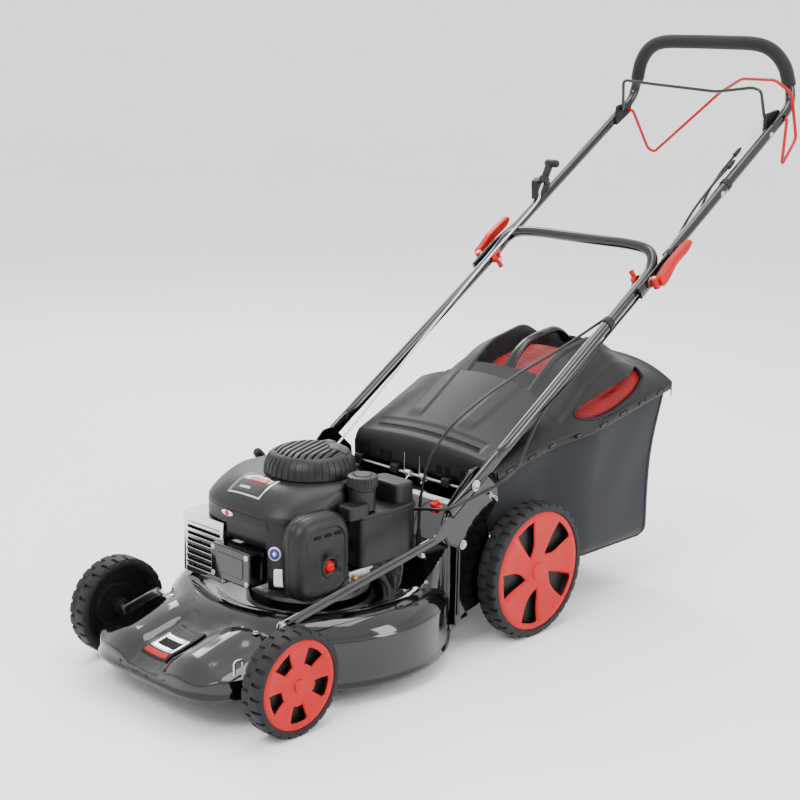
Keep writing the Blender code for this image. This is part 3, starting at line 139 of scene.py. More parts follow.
material("gloss_black", (0.0016, 0.0016, 0.0018), 0.09, coat=0.55, grain=0.04, scale=90,
    specular=0.3)
material("gloss_black_plastic", (0.0025, 0.0025, 0.0028), 0.16, coat=0.25, grain=0.06, scale=160,
    specular=0.28)
material("matt_black", (0.0068, 0.0069, 0.0072), 0.44, grain=0.3, scale=1300, specular=0.26)
material("engine_grey", (0.0074, 0.0076, 0.008), 0.38, grain=0.28, scale=1500, specular=0.3)
material("rubber", (0.009, 0.0095, 0.0105), 0.6, grain=0.35, scale=900, specular=0.25)
material("red_plastic", (0.4, 0.0002, 0.0012), 0.32, coat=0.08, grain=0.06, scale=500, mottle=0.06,
    specular=0.2)
material("red_paint", (0.38, 0.0003, 0.0014), 0.28, coat=0.12, grain=0.05, scale=300, mottle=0.06,
    specular=0.2)
material("zinc", (0.52, 0.53, 0.54), 0.3, metal=1.0, grain=0.12, scale=700, mottle=0.15, patches=60)
material("aluminium", (0.36, 0.37, 0.38), 0.42, metal=1.0, grain=0.5, scale=500, mottle=0.25,
    patches=40)
material("foam", (0.012, 0.012, 0.013), 0.85, grain=0.9, scale=1400, sheen=0.12, specular=0.2)
material("sheath", (0.004, 0.004, 0.0045), 0.34, grain=0.1, scale=400, specular=0.3)
woven("fabric", (0.0085, 0.0098, 0.014), (0.015, 0.0168, 0.0225), 0.0011, 0.8, 0.35, sheen=0.1)
woven("rope", (0.55, 0.55, 0.52), (0.8, 0.8, 0.77), 0.0016, 0.75, 0.6, sheen=0.2)
woven("red_mesh", (0.13, 0.001, 0.0025), (0.5, 0.002, 0.005), 0.003, 0.45, 0.9, sheen=0.0)
# Painted shade: a dark look for plates that stand for the shade in vents, slots, recesses, inside
# the recoil cover and behind the muffler guard; also the dark print of the nose badge's bar.
material("painted_shade_and_dark_print", (0.0022, 0.0022, 0.0022), 0.65, grain=0.2, scale=900, specular=0.15)
material("label_white", (0.8, 0.8, 0.8), 0.35, grain=0.05, scale=300, mottle=0.04)
material("label_blue", (0.01, 0.025, 0.22), 0.35, grain=0.05, scale=300, mottle=0.1)
material("badge_silver", (0.72, 0.72, 0.73), 0.2, metal=1.0, grain=0.05, scale=400, mottle=0.08)
material("brass", (0.62, 0.4, 0.1), 0.3, metal=1.0, grain=0.1, scale=500, mottle=0.15)
material("clear_casting", (0.4, 0.41, 0.43), 0.25, metal=1.0, grain=0.4, scale=260, mottle=0.3,
    patches=70)


# ---------------------------------------------------------------- mesh tools
def build(name, bm, look, body="chassis", node=None, thick=0.0, bevel=0.0, sharp=35, flip=None):
    """Turn a bmesh in the layout frame into a piece that rides on a body, or on none.

    node is the CAD node that it stands for, and flip the way in which its outermost face looks.
    """
    bmesh.ops.remove_doubles(bm, verts=bm.verts, dist=1e-6)
    bmesh.ops.recalc_face_normals(bm, faces=bm.faces)
    if flip is not None:
        far = max(bm.faces, key=lambda f: f.calc_center_median().dot(Vector(flip)))
        if far.normal.dot(Vector(flip)) < 0:
            bmesh.ops.reverse_faces(bm, faces=bm.faces)
    bmesh.ops.translate(bm, verts=bm.verts, vec=SHIFT)
    made = link_mesh(name, bm, M[look])
    made.data.set_sharp_from_angle(angle=radians(sharp))
    if thick:
        mod = made.modifiers.new("wall", "SOLIDIFY")
        mod.thickness, mod.offset = thick, -1.0
    if bevel:
        mod = made.modifiers.new("edges", "BEVEL")
        mod.width, mod.segments, mod.limit_method, mod.angle_limit = bevel, 3, "ANGLE", radians(38)
        mod.harden_normals = True
    if body:
        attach(made, body)
    if node:
        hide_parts(node)
    return made


def link_mesh(name, bm, look):
    """An object of a bmesh, shaded smooth."""
    mesh = bpy.data.meshes.new(name)
    bm.to_mesh(mesh)
    bm.free()
    mesh.shade_smooth()
    mesh.materials.append(look)
    made = bpy.data.objects.new(name, mesh)
    bpy.context.scene.collection.objects.link(made)
    return made


def skin(rings, wrap=True, closed_ends=False, caps=False):
    """Join rings of points with quads."""
    bm = bmesh.new()
    rows = [[bm.verts.new(p) for p in ring] for ring in rings]
    pairs = list(zip(rows, rows[1:])) + ([(rows[-1], rows[0])] if closed_ends else [])
    count = len(rows[0])
    for a, b in pairs:
        for i in range(count if wrap else count - 1):
            j = (i + 1) % count
            bm.faces.new((a[i], a[j], b[j], b[i]))
    if caps:
        bm.faces.new(rows[0][::-1])
        bm.faces.new(rows[-1])
    return bm


def surface(point, us, vs):
    """A grid of point(u, v)."""
    return skin([[point(u, v) for v in vs] for u in us], wrap=False)


def cut_out(bm, test):
    """Delete the faces whose centre passes a test."""
    gone = [f for f in bm.faces if test(f.calc_center_median())]
    bmesh.ops.delete(bm, geom=gone, context="FACES")


def mm(*points):
    """Points in metres from numbers in millimetres."""
    return [tuple(c / 1000 for c in point) for point in points]


def steps(low, high, count):
    return [low + (high - low) * i / count for i in range(count + 1)]


def about(radius, angle, z):
    """A point round the crankshaft."""
    return Vector((radius * cos(angle), DECK_Y + radius * sin(angle), z))


def ease(value, low, high):
    t = min(1.0, max(0.0, (value - low) / (high - low)))
    return t * t * (3 - 2 * t)


def bump_at(value, centre, half):
    """A smooth hump of height 1 round a centre."""
    return 0.5 + 0.5 * cos(pi * min(1.0, abs(value - centre) / half))


def oval(theta, right, left, back, front, power):
    """Radius of a rounded square with four different reaches."""
    across = right if cos(theta) >= 0 else left
    along = back if sin(theta) >= 0 else front
    return (abs(cos(theta) / across) ** power + abs(sin(theta) / along) ** power) ** (-1 / power)


SPIN = {"X": lambda u, v, w: Vector((w, u, v)), "Y": lambda u, v, w: Vector((u, w, v)),
    "Z": lambda u, v, w: Vector((u, v, w))}


def turns(count, start=0.0):
    return [start + tau * i / count for i in range(count)]


def lathe(profile, centre, axis="Z", count=64, ripple=None):
    """Turn (radius, along) points; ripple(angle, radius, along) may change the radius."""
    rings = []
    for radius, along in profile:
        ring = []
        for a in turns(count):
            r = ripple(a, radius, along) if ripple else radius
            ring.append(Vector(centre) + SPIN[axis](r * cos(a), r * sin(a), along))
        rings.append(ring)
    return skin(rings)


def slab(outline, low, high, axis="X"):
    """A plate between low and high, with an outline of the two other coordinates."""
    return skin([[SPIN[axis](u, v, w) for u, v in outline] for w in (low, high)], caps=True)


def rect(u0, u1, v0, v1):
    return [(u0, v0), (u1, v0), (u1, v1), (u0, v1)]


def block(x0, x1, y0, y1, z0, z1):
    return slab(rect(x0, x1, y0, y1), z0, z1, "Z")


def soft_box(x0, x1, y0, y1, z0, z1, radius, axis="Y"):
    """A box whose outline across an axis has round corners."""
    spans = {"X": (x0, x1), "Y": (y0, y1), "Z": (z0, z1)}
    low, high = spans.pop(axis)
    u, v = spans.values()
    return slab(rounded_outline(rect(*u, *v), radius), low, high, axis)


def rounded_outline(corners, radius, count=6):
    """Corners of a plan with each one turned through an arc."""
    out = []
    for i, b in enumerate(corners):
        a, c = Vector(corners[i - 1]), Vector(corners[(i + 1) % len(corners)])
        b = Vector(b)
        back = min(radius, (a - b).length * 0.48, (c - b).length * 0.48)
        s, e = b + (a - b).normalized() * back, b + (c - b).normalized() * back
        out += [tuple(s * (1 - t) ** 2 + b * 2 * t * (1 - t) + e * t * t)
            for t in steps(0, 1, count)]
    return out


def smooth_path(points, per_span=6):
    """A smooth curve through points."""
    p = [Vector(q) for q in points]
    p = [p[0] * 2 - p[1]] + p + [p[-1] * 2 - p[-2]]
    path = []
    for a, b, c, d in zip(p, p[1:], p[2:], p[3:]):
        for t in steps(0, 1, per_span)[:-1]:
            path.append(0.5 * ((2 * b) + (c - a) * t + (2 * a - 5 * b + 4 * c - d) * t * t
                + (3 * b - a - 3 * c + d) * t ** 3))
    path.append(p[-2])
    return path


def turned_corners(corners, radius, count=8):
    """A polyline whose inner corners are arcs."""
    pts = [Vector(c) for c in corners]
    path = [pts[0]]
    for a, b, c in zip(pts, pts[1:], pts[2:]):
        back = min(radius, (a - b).length * 0.45, (c - b).length * 0.45)
        s, e = b + (a - b).normalized() * back, b + (c - b).normalized() * back
        path += [s * (1 - t) ** 2 + b * 2 * t * (1 - t) + e * t * t for t in steps(0, 1, count)]
    path.append(pts[-1])
    return path


def tube(path, radius, count=16, shape=None, inner=0.0):
    """A round bar along a path; shape(t), t from 0 to 1, is its scale, or a pair for two ways."""
    points = [Vector(p) for p in path]
    runs = [(b - a).normalized() for a, b in zip(points, points[1:])]
    tangents = [runs[0]] + [(a + b).normalized() for a, b in zip(runs, runs[1:])] + [runs[-1]]
    side = tangents[0].cross(Vector((0, 0, 1)))
    if side.length < 0.2:
        side = tangents[0].cross(Vector((0, 1, 0)))
    length = [0.0]
    for a, b in zip(points, points[1:]):
        length.append(length[-1] + (b - a).length)
    rings, inside = [], []
    for point, tangent, run in zip(points, tangents, length):
        side = (side - tangent * side.dot(tangent)).normalized()
        up = tangent.cross(side)
        size = shape(run / length[-1]) if shape else 1
        wide, high = size if isinstance(size, tuple) else (size, size)
        angles = turns(count)
        rings.append([point + side * (radius * wide * cos(a)) + up * (radius * high * sin(a))
            for a in angles])
        inside.append([point + side * (inner * cos(a)) + up * (inner * sin(a)) for a in angles])
    return skin(rings + inside[::-1], closed_ends=True) if inner else skin(rings, caps=True)


def eased_ends(least, share):
    """A tube's shape: full size, but smaller over a share of its length at both ends."""
    return lambda t: least + (1 - least) * ease(min(t, 1 - t), 0, share)


def join(*parts):
    """Several bmeshes as one."""
    whole = bmesh.new()
    for part in parts:
        mesh = bpy.data.meshes.new("part")
        part.to_mesh(mesh)
        part.free()
        whole.from_mesh(mesh)
        bpy.data.meshes.remove(mesh)
    return whole


def bolt(name, centre, axis, radius, height, body="chassis", direction=1):
    """Hex head on a washer, facing along an axis."""
    high, wide = height * direction, radius * 1.45
    head = lathe([(0.0, high), (radius * 0.8, high), (radius, high * 0.82),
        (radius, 0.0012 * direction)], centre, axis, 6)
    disc = lathe([(0.0, 0.0014 * direction), (wide, 0.0012 * direction), (wide, 0)], centre, axis,
        28)
    build(name, join(head, disc), "zinc", body, bevel=0.0003, sharp=30)


SIDES = (("left", 1), ("right", -1))


# ---------------------------------------------------------------- camera
YAW, PITCH, ROLL = radians(44.06), radians(13.46), radians(1.145)
back = Vector((sin(YAW) * cos(PITCH), -cos(YAW) * cos(PITCH), sin(PITCH)))
level = Vector((cos(YAW), sin(YAW), 0))
upright = back.cross(level)
right = level * cos(ROLL) + upright * sin(ROLL)
over = upright * cos(ROLL) - level * sin(ROLL)
lens = bpy.data.cameras.new("camera")
lens.lens, lens.sensor_width = 69.75, 36
lens.clip_start, lens.clip_end = 0.05, 60
camera = bpy.data.objects.new("camera", lens)
bpy.context.scene.collection.objects.link(camera)
camera.matrix_world = Matrix.Translation(Vector((1.972, -2.2428, 1.117))) @ Matrix((right, over,
    back)).transposed().to_4x4()
bpy.context.scene.camera = camera

# ---------------------------------------------------------------- wheels
def wheel(label, x, y, wheel_r, trim_r, blocks, window):
    """Tyre with cut tread, dished disc and a red trim with five windows."""
    out = 1 if x > 0 else -1
    body = "wheel_" + label
    centre = Vector((x, y, wheel_r))
    half, bead = 0.022, trim_r + 0.0003
    across = [(bead, -half + 0.001, 0), (bead + 0.003, -half, 0),
        (wheel_r * 0.93, -half + 0.0004, 0), (wheel_r - 0.0035, -half + 0.001, 0.5),
        (wheel_r - 0.0008, -half + 0.0035, 1), (wheel_r, -0.012, 1), (wheel_r, -0.0036, 1),
        (wheel_r - 0.0002, -0.003, 0), (wheel_r - 0.0002, 0.003, 0), (wheel_r, 0.0036, 1),
        (wheel_r, 0.012, 1), (wheel_r - 0.0008, half - 0.0035, 1),
        (wheel_r - 0.0035, half - 0.001, 0.5), (wheel_r * 0.93, half - 0.0004, 0),
        (wheel_r * 0.905, half + 0.0001, 0), (wheel_r * 0.895, half - 0.001, 0),
        (bead + 0.006, half - 0.001, 0), (bead + 0.003, half - 0.0002, 0), (bead, half - 0.001, 0)]
    rings = []
    for n in range(blocks):
        for part in (0, 0.045, 0.235, 0.28, 0.5, 0.545, 0.735, 0.78):
            a = tau * (n + part) / blocks - pi / 2 - tau * 0.64 / blocks
            ring = []
            for radius, along, cut in across:
                low = 0.04 < part < 0.24 if along < 0 else 0.54 < part < 0.74
                r = radius - 0.004 * cut if low else radius
                ring.append(centre + Vector((along * out, r * cos(a), r * sin(a))))
            rings.append(ring)
    bm = skin(rings, closed_ends=True)
    build("tyre_tread_" + label, bm, "rubber", body, "tyre_" + label, sharp=32)
    rim = trim_r - 0.0003
    dish = [(0.0066, -0.019), (0.013, -0.019), (0.0145, -0.018), (0.016, 0.001),
        (rim * 0.45, 0.0005), (rim * 0.5, -0.003), (rim * 0.56, -0.003), (rim * 0.6, 0.001),
        (rim - 0.008, 0.001), (rim - 0.005, -0.015), (rim - 0.004, -0.017), (rim, -0.017),
        (rim, 0.0165), (rim - 0.006, 0.0165), (rim - 0.008, 0.006), (0.016, 0.006), (0.014, 0.0165),
        (0.0066, 0.0165), (0.0066, -0.019)]
    disc = lathe([(r, a * out) for r, a in dish], centre, "X", 72)
    nut = lathe([(0.0, -0.0205 * out), (0.005, -0.0205 * out), (0.006, -0.0195 * out),
        (0.006, -0.01 * out)], centre, "X", 6)
    build("disc_" + label, join(disc, nut), "matt_black", body, "wheel_disc_" + label, sharp=40)
    trim(label, centre, rim, out, window)


def trim(label, centre, rim, out, window):
    """Red trim: each column of the mesh follows the side of a window."""
    r_in, r_out, edge_a, edge_b = window
    share = 1 / WINDOWS
    radii = [0.0, rim * 0.05, rim * 0.1, rim * 0.135, rim * 0.15, rim * 0.2, rim * 0.28]
    radii += [r for r in (r_in - 0.004, r_in - 0.0015) if r > rim * 0.29]
    cut = steps(r_in, r_out, 14)
    radii += cut + [r_out + 0.0015, rim * 0.955, rim * 0.97, rim * 0.985, rim]
    rings = []
    for r in radii:
        t = min(1.0, max(0.0, (r - r_in) / (r_out - r_in)))
        a, b = edge_a(t), edge_b(t)
        lift = 0.0182 + 0.003 * ease(r, rim * 0.6, rim * 0.95) - 0.0012 * ease(r, rim * 0.955,
            rim * 0.985)
        if r <= rim * 0.155:
            lift = 0.0212 + 0.0013 * sqrt(max(0.0,
                1 - (r / (rim * 0.155)) ** 2)) - 0.0024 * (r > rim * 0.14)
        angles, lifts = [], []
        for n in range(WINDOWS):
            for low, high in ((0.0, a), (a, b), (b, share)):
                for s in steps(low, high, COLUMNS)[:-1]:
                    angles.append(tau * (n * share + s))
                    gap = min(abs(s - a), abs(s - b), abs(s + share - b),
                        abs(s - a - share)) * tau * r
                    roll = 0.0022 * (1 - min(1.0, gap / 0.004)) ** 2
                    lifts.append(lift - (roll if r_in - 0.003 < r < r_out + 0.002 else 0))
        rings.append([centre + Vector(((h if r else 0.0225) * out, -out * r * sin(q), r * cos(q)))
            for q, h in zip(angles, lifts)])
    bm = skin(rings)
    bm.faces.ensure_lookup_table()
    gone = [bm.faces[((i * WINDOWS + n) * 3 + 1) * COLUMNS + k] for i in range(radii.index(cut[0]),
        radii.index(cut[-1])) for n in range(WINDOWS) for k in range(COLUMNS)]
    bmesh.ops.delete(bm, geom=gone, context="FACES")
    build("trim_" + label, bm, "red_plastic", "wheel_" + label, "wheel_trim_" + label, thick=0.0028,
        sharp=42, flip=(out, 0, 0))


# A window's inner and outer radius, and where its two sides lie, in turns, from inside to outside.
SWIRL = (0.036, 0.102, lambda t: 0.102 - 0.07 * (1 - (1 - t) ** 7) - 0.002, lambda t: 0.102)
PLAIN = (0.036, 0.063, lambda t: 0.062 - 0.006 * t, lambda t: 0.138 + 0.006 * t)
for one, sign in SIDES:
    wheel("front_" + one, sign * 0.237, 0, FRONT_R, 0.0763, 24, PLAIN)
    wheel("rear_" + one, sign * 0.2215, REAR_Y, REAR_R, 0.1148, 32, SWIRL)


# ---------------------------------------------------------------- deck
def deck_edge(theta):
    """Plan of the deck: a circle with a nose in front and a square rear."""
    nose = oval(theta, 0.196, 0.196, 0.1, DECK_Y + 0.122, 5.0) if sin(theta) < 0 else 0
    rear = oval(theta, 0.1885, 0.1885, 0.5 - DECK_Y, 0.1, 14.0) if sin(theta) > 0 else 0
    return max(DECK_R, nose, rear)


def deck_top(x, y):
    """Round shoulder with two pressed rings, sloping nose with two bulges, and the ramp."""
    out = hypot(x, y - DECK_Y)
    fall = max(0.0, (out - 0.205) / 0.05)
    dome = 0.138 + 0.012 * ease(out, 0.166,
        0.205) - 0.05 * (1 - sqrt(max(0.0, 1 - min(fall, 1.0) ** 2)))
    dome += 0.003 * bump_at(out, 0.176, 0.007) - 0.0022 * bump_at(out, 0.19, 0.006)
    nose = 0.128 - 0.03 * ease(-y, -0.06, 0.115) + 0.016 * bump_at(abs(x), 0.085, 0.075) - 0.006
    nose -= 0.02 * ease(-y, 0.08, 0.125) + 0.02 * ease(abs(x), 0.15, 0.2)
    nose -= 0.0035 * bump_at(abs(x), 0.04, 0.01) * ease(-y, -0.02, 0.03)
    height = dome
    if y < 0.06:
        height = max(dome, nose) if out < DECK_R else nose
    if y > 0.3 and abs(x) < 0.1915:
        height = max(height, 0.132 + 0.14 * ease(y, 0.3, 0.52))
    return height


def deck_foot(y):
    return 0.03 + 0.026 * ease(-y, -0.05, 0.06) + 0.03 * ease(y, 0.4, 0.47)


def deck():
    rings = []
    for theta in turns(288):
        edge = deck_edge(theta)
        line = [(0.03, 0.13), (0.152, 0.13), (0.156, 0.131)]
        for part in steps(0, 1, 26):
            part = 1 - (1 - part) ** 1.5
            out = 0.16 + (edge - 0.0035 - 0.16) * part
            z = deck_top(out * cos(theta), DECK_Y + out * sin(theta))
            line.append((out, 0.13 + (z - 0.13) * ease(out, 0.157, 0.168)))
        y = DECK_Y + edge * sin(theta)
        foot, top = deck_foot(y), line[-1][1]
        line += [(edge - 0.0018, top - 0.0016), (edge - 0.001, top - 0.005),
            (edge - 0.001, (top + foot) / 2), (edge - 0.001, foot + 0.016),
            (edge - 0.0002, foot + 0.011), (edge + 0.0022, foot + 0.006),
            (edge + 0.0029, foot + 0.003), (edge + 0.003, foot)]
        rings.append([about(r, theta, z) for r, z in line])
    bm = skin(rings, wrap=False, closed_ends=True)
    cut_out(bm, lambda p: p.y > 0.488 and abs(p.x) < 0.15 and 0.07 < p.z < 0.2)
    build("deck", bm, "gloss_black", node="deck_shell", thick=0.003, sharp=50, flip=(0, 0, 1))


deck()


def deck_patch(name, x0, x1, y0, y1, lift, look):
    """A thin plate that follows the deck's nose."""
    bm = surface(lambda u, v: Vector((u, v, deck_top(u, v) + lift)), steps(x0, x1, 14),
        steps(y0, y1, 10))
    build(name, bm, look, thick=0.0012, sharp=60, flip=(0, 0, 1))


for name, x, y0, y1, lift, look in (("base", 0.034, -0.098, -0.012, 0.0016, "matt_black"),
        ("plate", 0.029, -0.082, -0.04, 0.0026, "badge_silver"),
        ("bar", 0.022, -0.071, -0.052, 0.0034, "painted_shade_and_dark_print"), ("strip", 0.029, -0.094, -0.0855,
        0.0026, "red_paint")):
    deck_patch("nose_badge_" + name, -x, x, y0, y1, lift, look)
for hx, hy in ((0.115, 0.03), (-0.115, 0.03), (0.15, 0.395), (-0.15, 0.395)):
    bolt("deck_bolt_%d_%d" % (int(hx * 1000), int(hy * 1000)), (hx, hy, deck_top(hx, hy)), "Z",
        0.0055, 0.0045)
for i, q in enumerate(turns(6, pi / 6)):
    bolt("engine_bolt_%d" % i, about(0.1, q, 0.1415), "Z", 0.0055, 0.0055)
hook = tube(turned_corners(mm((171, -64, 100), (171, -64, 122), (171, -46, 122), (171, -46, 112)),
    0.006), 0.0024, 12)
build("front_hook", hook, "zinc")


# ---------------------------------------------------------------- engine
crankcase = lathe(mm((13.4, 130.4), (106, 130.4), (110, 132), (110, 139.5), (108, 141.4), (92, 145),
    (88, 150), (88, 176), (90.5, 178), (90.5, 184), (88, 186), (88, 205), (86, 208), (67, 220.5),
    (64, 223), (58, 284), (13.4, 284), (13.4, 130.4)), (0, DECK_Y, 0), "Z", 96)
build("crankcase_casting", crankcase, "aluminium", node="crankcase", sharp=40)
barrel = [block(-0.038, 0.044, 0.1128, 0.1655, 0.176, 0.24)]
for i in range(8):
    barrel.append(block(-0.05, 0.052, 0.115 + i * 0.0062, 0.1168 + i * 0.0062, 0.168, 0.242))
build("cylinder_fins", join(*barrel), "aluminium", node="cylinder", bevel=0.0004)
build("valve_cover_shell", soft_box(-0.052, 0.052, 0.0685, 0.1118, 0.178, 0.2415, 0.009),
    "gloss_black", node="valve_cover", bevel=0.0035)
build("valve_cover_panel", soft_box(-0.036, 0.036, 0.0672, 0.07, 0.192, 0.228, 0.006),
    "gloss_black", bevel=0.001)
for sx in (-0.0445, 0.0445):
    for sz in (0.186, 0.2335):
        bolt("cover_bolt_%d_%d" % (int(sx * 1e3), int(sz * 1e3)), (sx, 0.0686, sz), "Y", 0.0036,
            0.0022, direction=-1)
build("muffler_can", soft_box(-0.143, -0.056, 0.112, 0.15, 0.165, 0.255, 0.012), "aluminium",
    node="muffler", bevel=0.004)
guard = [block(-0.1665, -0.0555, 0.0985, 0.101, 0.249, 0.264),
    block(-0.1665, -0.0555, 0.0985, 0.101, 0.153, 0.164), soft_box(-0.168, -0.156, 0.098, 0.162,
    0.153, 0.2655, 0.005, "Z"), soft_box(-0.064, -0.0545, 0.098, 0.118, 0.153, 0.2655, 0.004, "Z"),
    soft_box(-0.167, -0.056, 0.099, 0.161, 0.2625, 0.2658, 0.006, "Z")]
for i in range(7):
    z = 0.1685 + i * 0.0122
    guard.append(block(-0.16, -0.06, 0.0988, 0.1012, z, z + 0.0062))
build("muffler_guard_bars", join(*guard), "badge_silver", node="muffler_guard", bevel=0.0009)
# A dark plate over the can's face behind the guard bars: painted shade.
build("muffler_shade_plate", soft_box(-0.15, -0.06, 0.1045, 0.111, 0.158, 0.26, 0.01), "painted_shade_and_dark_print",
    bevel=0.002)


def cowl_edge(theta):
    edge = oval(theta, 0.11, 0.163, 0.108, 0.155, 3.4)
    return edge + (0.0925 - edge) * ease(theta, -0.2, -0.02) * (1 - ease(theta, 1.48, 1.66))


def cowl_foot(x, y):
    """Height of the housing's lower edge, which is cut away over the parts below it."""
    if y < 0.205:
        return 0.2685 if x < -0.05 else 0.245 if x < 0.0555 else 0.172
    return 0.24 if x < 0.06 else 0.299


def cowl_height(theta, share):
    """Height of the housing's top, from the recoil's circle (share 0) to its edge (share 1)."""
    q = max(0.0, (share - 0.72) / 0.28)
    level_top = 0.3452 - 0.0052 * min(1.0, share / 0.72) ** 2 - 0.035 * (1
        - sqrt(max(0.0, 1 - q * q)))
    sloping = 0.299 + 0.0462 * max(0.0, 1 - share ** 2.1) ** 0.8
    front = ease(-sin(theta), 0.15, 0.75)
    return level_top + (sloping - level_top) * front


def cowl_point(theta, share):
    r = COWL_IN + (cowl_edge(theta) - COWL_IN) * share
    return about(r, theta, cowl_height(theta, share))


def cowl():
    """Blower housing: sloping front, round shoulder, and a seam line round its side."""
    rings = []
    for theta in turns(240, -pi):
        edge = cowl_edge(theta)
        foot = cowl_foot(edge * cos(theta), DECK_Y + edge * sin(theta))
        line = [cowl_point(theta, share) for share in steps(0, 0.7, 10)]
        line += [cowl_point(theta, 1 - (1 - t) ** 2 * 0.28) for t in steps(0.04, 1, 12)]
        low = line[-1].z
        for t, inset in ((0.06, 0), (0.09, 0.0013), (0.14, 0.0013), (0.17, 0), (0.5, 0), (0.8, 0),
                (1.0, 0)):
            r = edge - (inset if foot < 0.28 else 0)
            line.append(about(r, theta, low + (foot - low) * t))
        rings.append(line)
    build("cowl", skin(rings, wrap=False, closed_ends=True), "engine_grey", node="blower_housing",
        thick=0.0025, sharp=40, flip=(0, 0, 1))


cowl()


def cowl_patch(name, centre, size, look, lift, power):
    """A thin plate on the housing's upright side; centre is its direction and height."""
    radius = cowl_edge(centre[0])

    def place(u, v):
        reach = v * (abs(cos(u)) ** power + abs(sin(u)) ** power) ** (-1 / power)
        turn = centre[0] + reach * cos(u) * size[0] / radius
        r = cowl_edge(turn) + lift
        return about(r, turn, centre[1] + reach * sin(u) * size[1])

    build(name, surface(place, steps(0, tau, 40), steps(0.02, 1, 4)), look, thick=0.001, sharp=60,
        flip=(cos(centre[0]), sin(centre[0]), 0))


def cowl_top_patch(name, x0, x1, y0, y1, lift, look):
    """A thin plate on the housing's sloping front."""
    def place(u, v):
        theta = atan2(v - DECK_Y, u)
        share = (hypot(u, v - DECK_Y) - COWL_IN) / (cowl_edge(theta) - COWL_IN)
        return Vector((u, v, cowl_height(theta, min(1.0, max(0.0, share))) + lift))

    build(name, surface(place, steps(x0, x1, 14), steps(y0, y1, 14)), look, thick=0.0012, sharp=60,
        flip=(0, 0, 1))


for args in (("badge_frame", -0.066, 0.018, 0.119, 0.17, 0.001, "badge_silver"),
        ("badge_window", -0.0635, 0.0155, 0.121, 0.168, 0.0016, "gloss_black"),
        ("badge_mark", -0.04, 0.004, 0.147, 0.159, 0.0022, "red_paint"),
        ("badge_bar", -0.046, -0.02, 0.129, 0.133, 0.0022, "badge_silver")):
    cowl_top_patch(*args)
STICKER = (-1.13, 0.238)
for args in (("side_badge", (-1.86, 0.287), (0.015, 0.005), "label_white", 0.0012, 2.0),
        ("side_badge_mark", (-1.86, 0.287), (0.006, 0.0068), "red_paint", 0.0018, 1.0),
        ("round_sticker", STICKER, (0.0115, 0.0125), "label_white", 0.0012, 2.0),
        ("round_sticker_field", STICKER, (0.0092, 0.01), "label_blue", 0.0017, 2.0),
        ("round_sticker_mark", STICKER, (0.0038, 0.005), "label_white", 0.0021, 1.0),
        ("plain_label", (-1.07, 0.195), (0.011, 0.016), "label_white", 0.0012, 9.0)):
    cowl_patch(*args)


def dome(r):
    """Height of the recoil cover at a radius."""
    if r < 0.046:
        return 0.3885 + 0.0005 * (1 - (r / 0.046) ** 2)
    if r < 0.07:
        return 0.3885 - 0.0085 * ((r - 0.046) / 0.024) ** 1.6
    return 0.38 - 0.0335 * min(1.0, ((r - 0.07) / 0.013)) ** 1.8


def recoil():
    # A dark surface under the grille ribs: painted shade inside the recoil cover.
    base = lathe([(r, dome(r) - 0.0048) for r in [0.0005] + steps(0.01, 0.068, 10)], (0, DECK_Y, 0),
        "Z", 96)
    build("recoil_inside", base, "painted_shade_and_dark_print", flip=(0, 0, 1))
    shell = lathe([(0.0775, 0.352), (0.064, dome(0.064) - 0.006), (0.064, dome(0.064)),
        (0.067, dome(0.067)), (0.07, 0.38), (0.0745, 0.3745), (0.0785, 0.3685), (0.0808, 0.362),
        (0.082, 0.355), (0.083, 0.3469), (0.0805, 0.3469), (0.0785, 0.355), (0.0775, 0.352)],
        (0, DECK_Y, 0), "Z", 120)
    parts = [shell]
    u = Vector((-0.35, 0.94, 0)).normalized()
    v = Vector((u.y, -u.x, 0))
    for i in range(-5, 6):
        off = i * 0.012
        reach = sqrt(0.0655 ** 2 - off ** 2)
        rings = []
        for run in steps(-reach, reach, 18):
            ring = []
            for w, lift in ((-0.004, -0.0055), (0.004, -0.0055), (0.004, -0.001), (0.0028, 0.0),
                    (-0.0028, 0.0), (-0.004, -0.001)):
                p = v * (off + w) + u * run
                ring.append(Vector((p.x, DECK_Y + p.y, dome(hypot(p.x, p.y)) + lift)))
            rings.append(ring)
        parts.append(skin(rings, caps=True))
    for q in turns(40):
        if 0.35 < q < 1.45:
            continue
        rings = []
        for w in (-0.022, -0.012, 0.012, 0.022):
            h = 0.0013 if abs(w) < 0.02 else -0.0005
            rings.append([about(r + h, q + w, z + h) for r, z in ((0.0828, 0.349), (0.0812, 0.36),
                (0.0775, 0.3695), (0.072, 0.377))])
        parts.append(skin(rings, wrap=False))
    cap = surface(lambda q, r: about(r, q, dome(r) + 0.001), steps(0.42, 1.4, 20),
        steps(0.034, 0.07, 8))
    build("recoil_dome", join(*parts), "engine_grey", node="recoil_cover", sharp=38)
    build("recoil_cap", cap, "engine_grey", thick=0.003, sharp=50, flip=(0, 0, 1))
    spout = soft_box(-0.058, -0.03, 0.318, 0.3515, 0.352, 0.3755, 0.006)
    build("rope_spout", spout, "engine_grey", bevel=0.0015)
    eyelet = lathe(mm((4.2, 0), (8.5, 0), (9, 1.5), (7, 2.6), (4.2, 1.6), (4.2, 0)),
        (-0.044, 0.3506, 0.364), "Y", 28)
    build("rope_eyelet", eyelet, "zinc")


recoil()
PRIMER = (0, 0.166, 0.222)


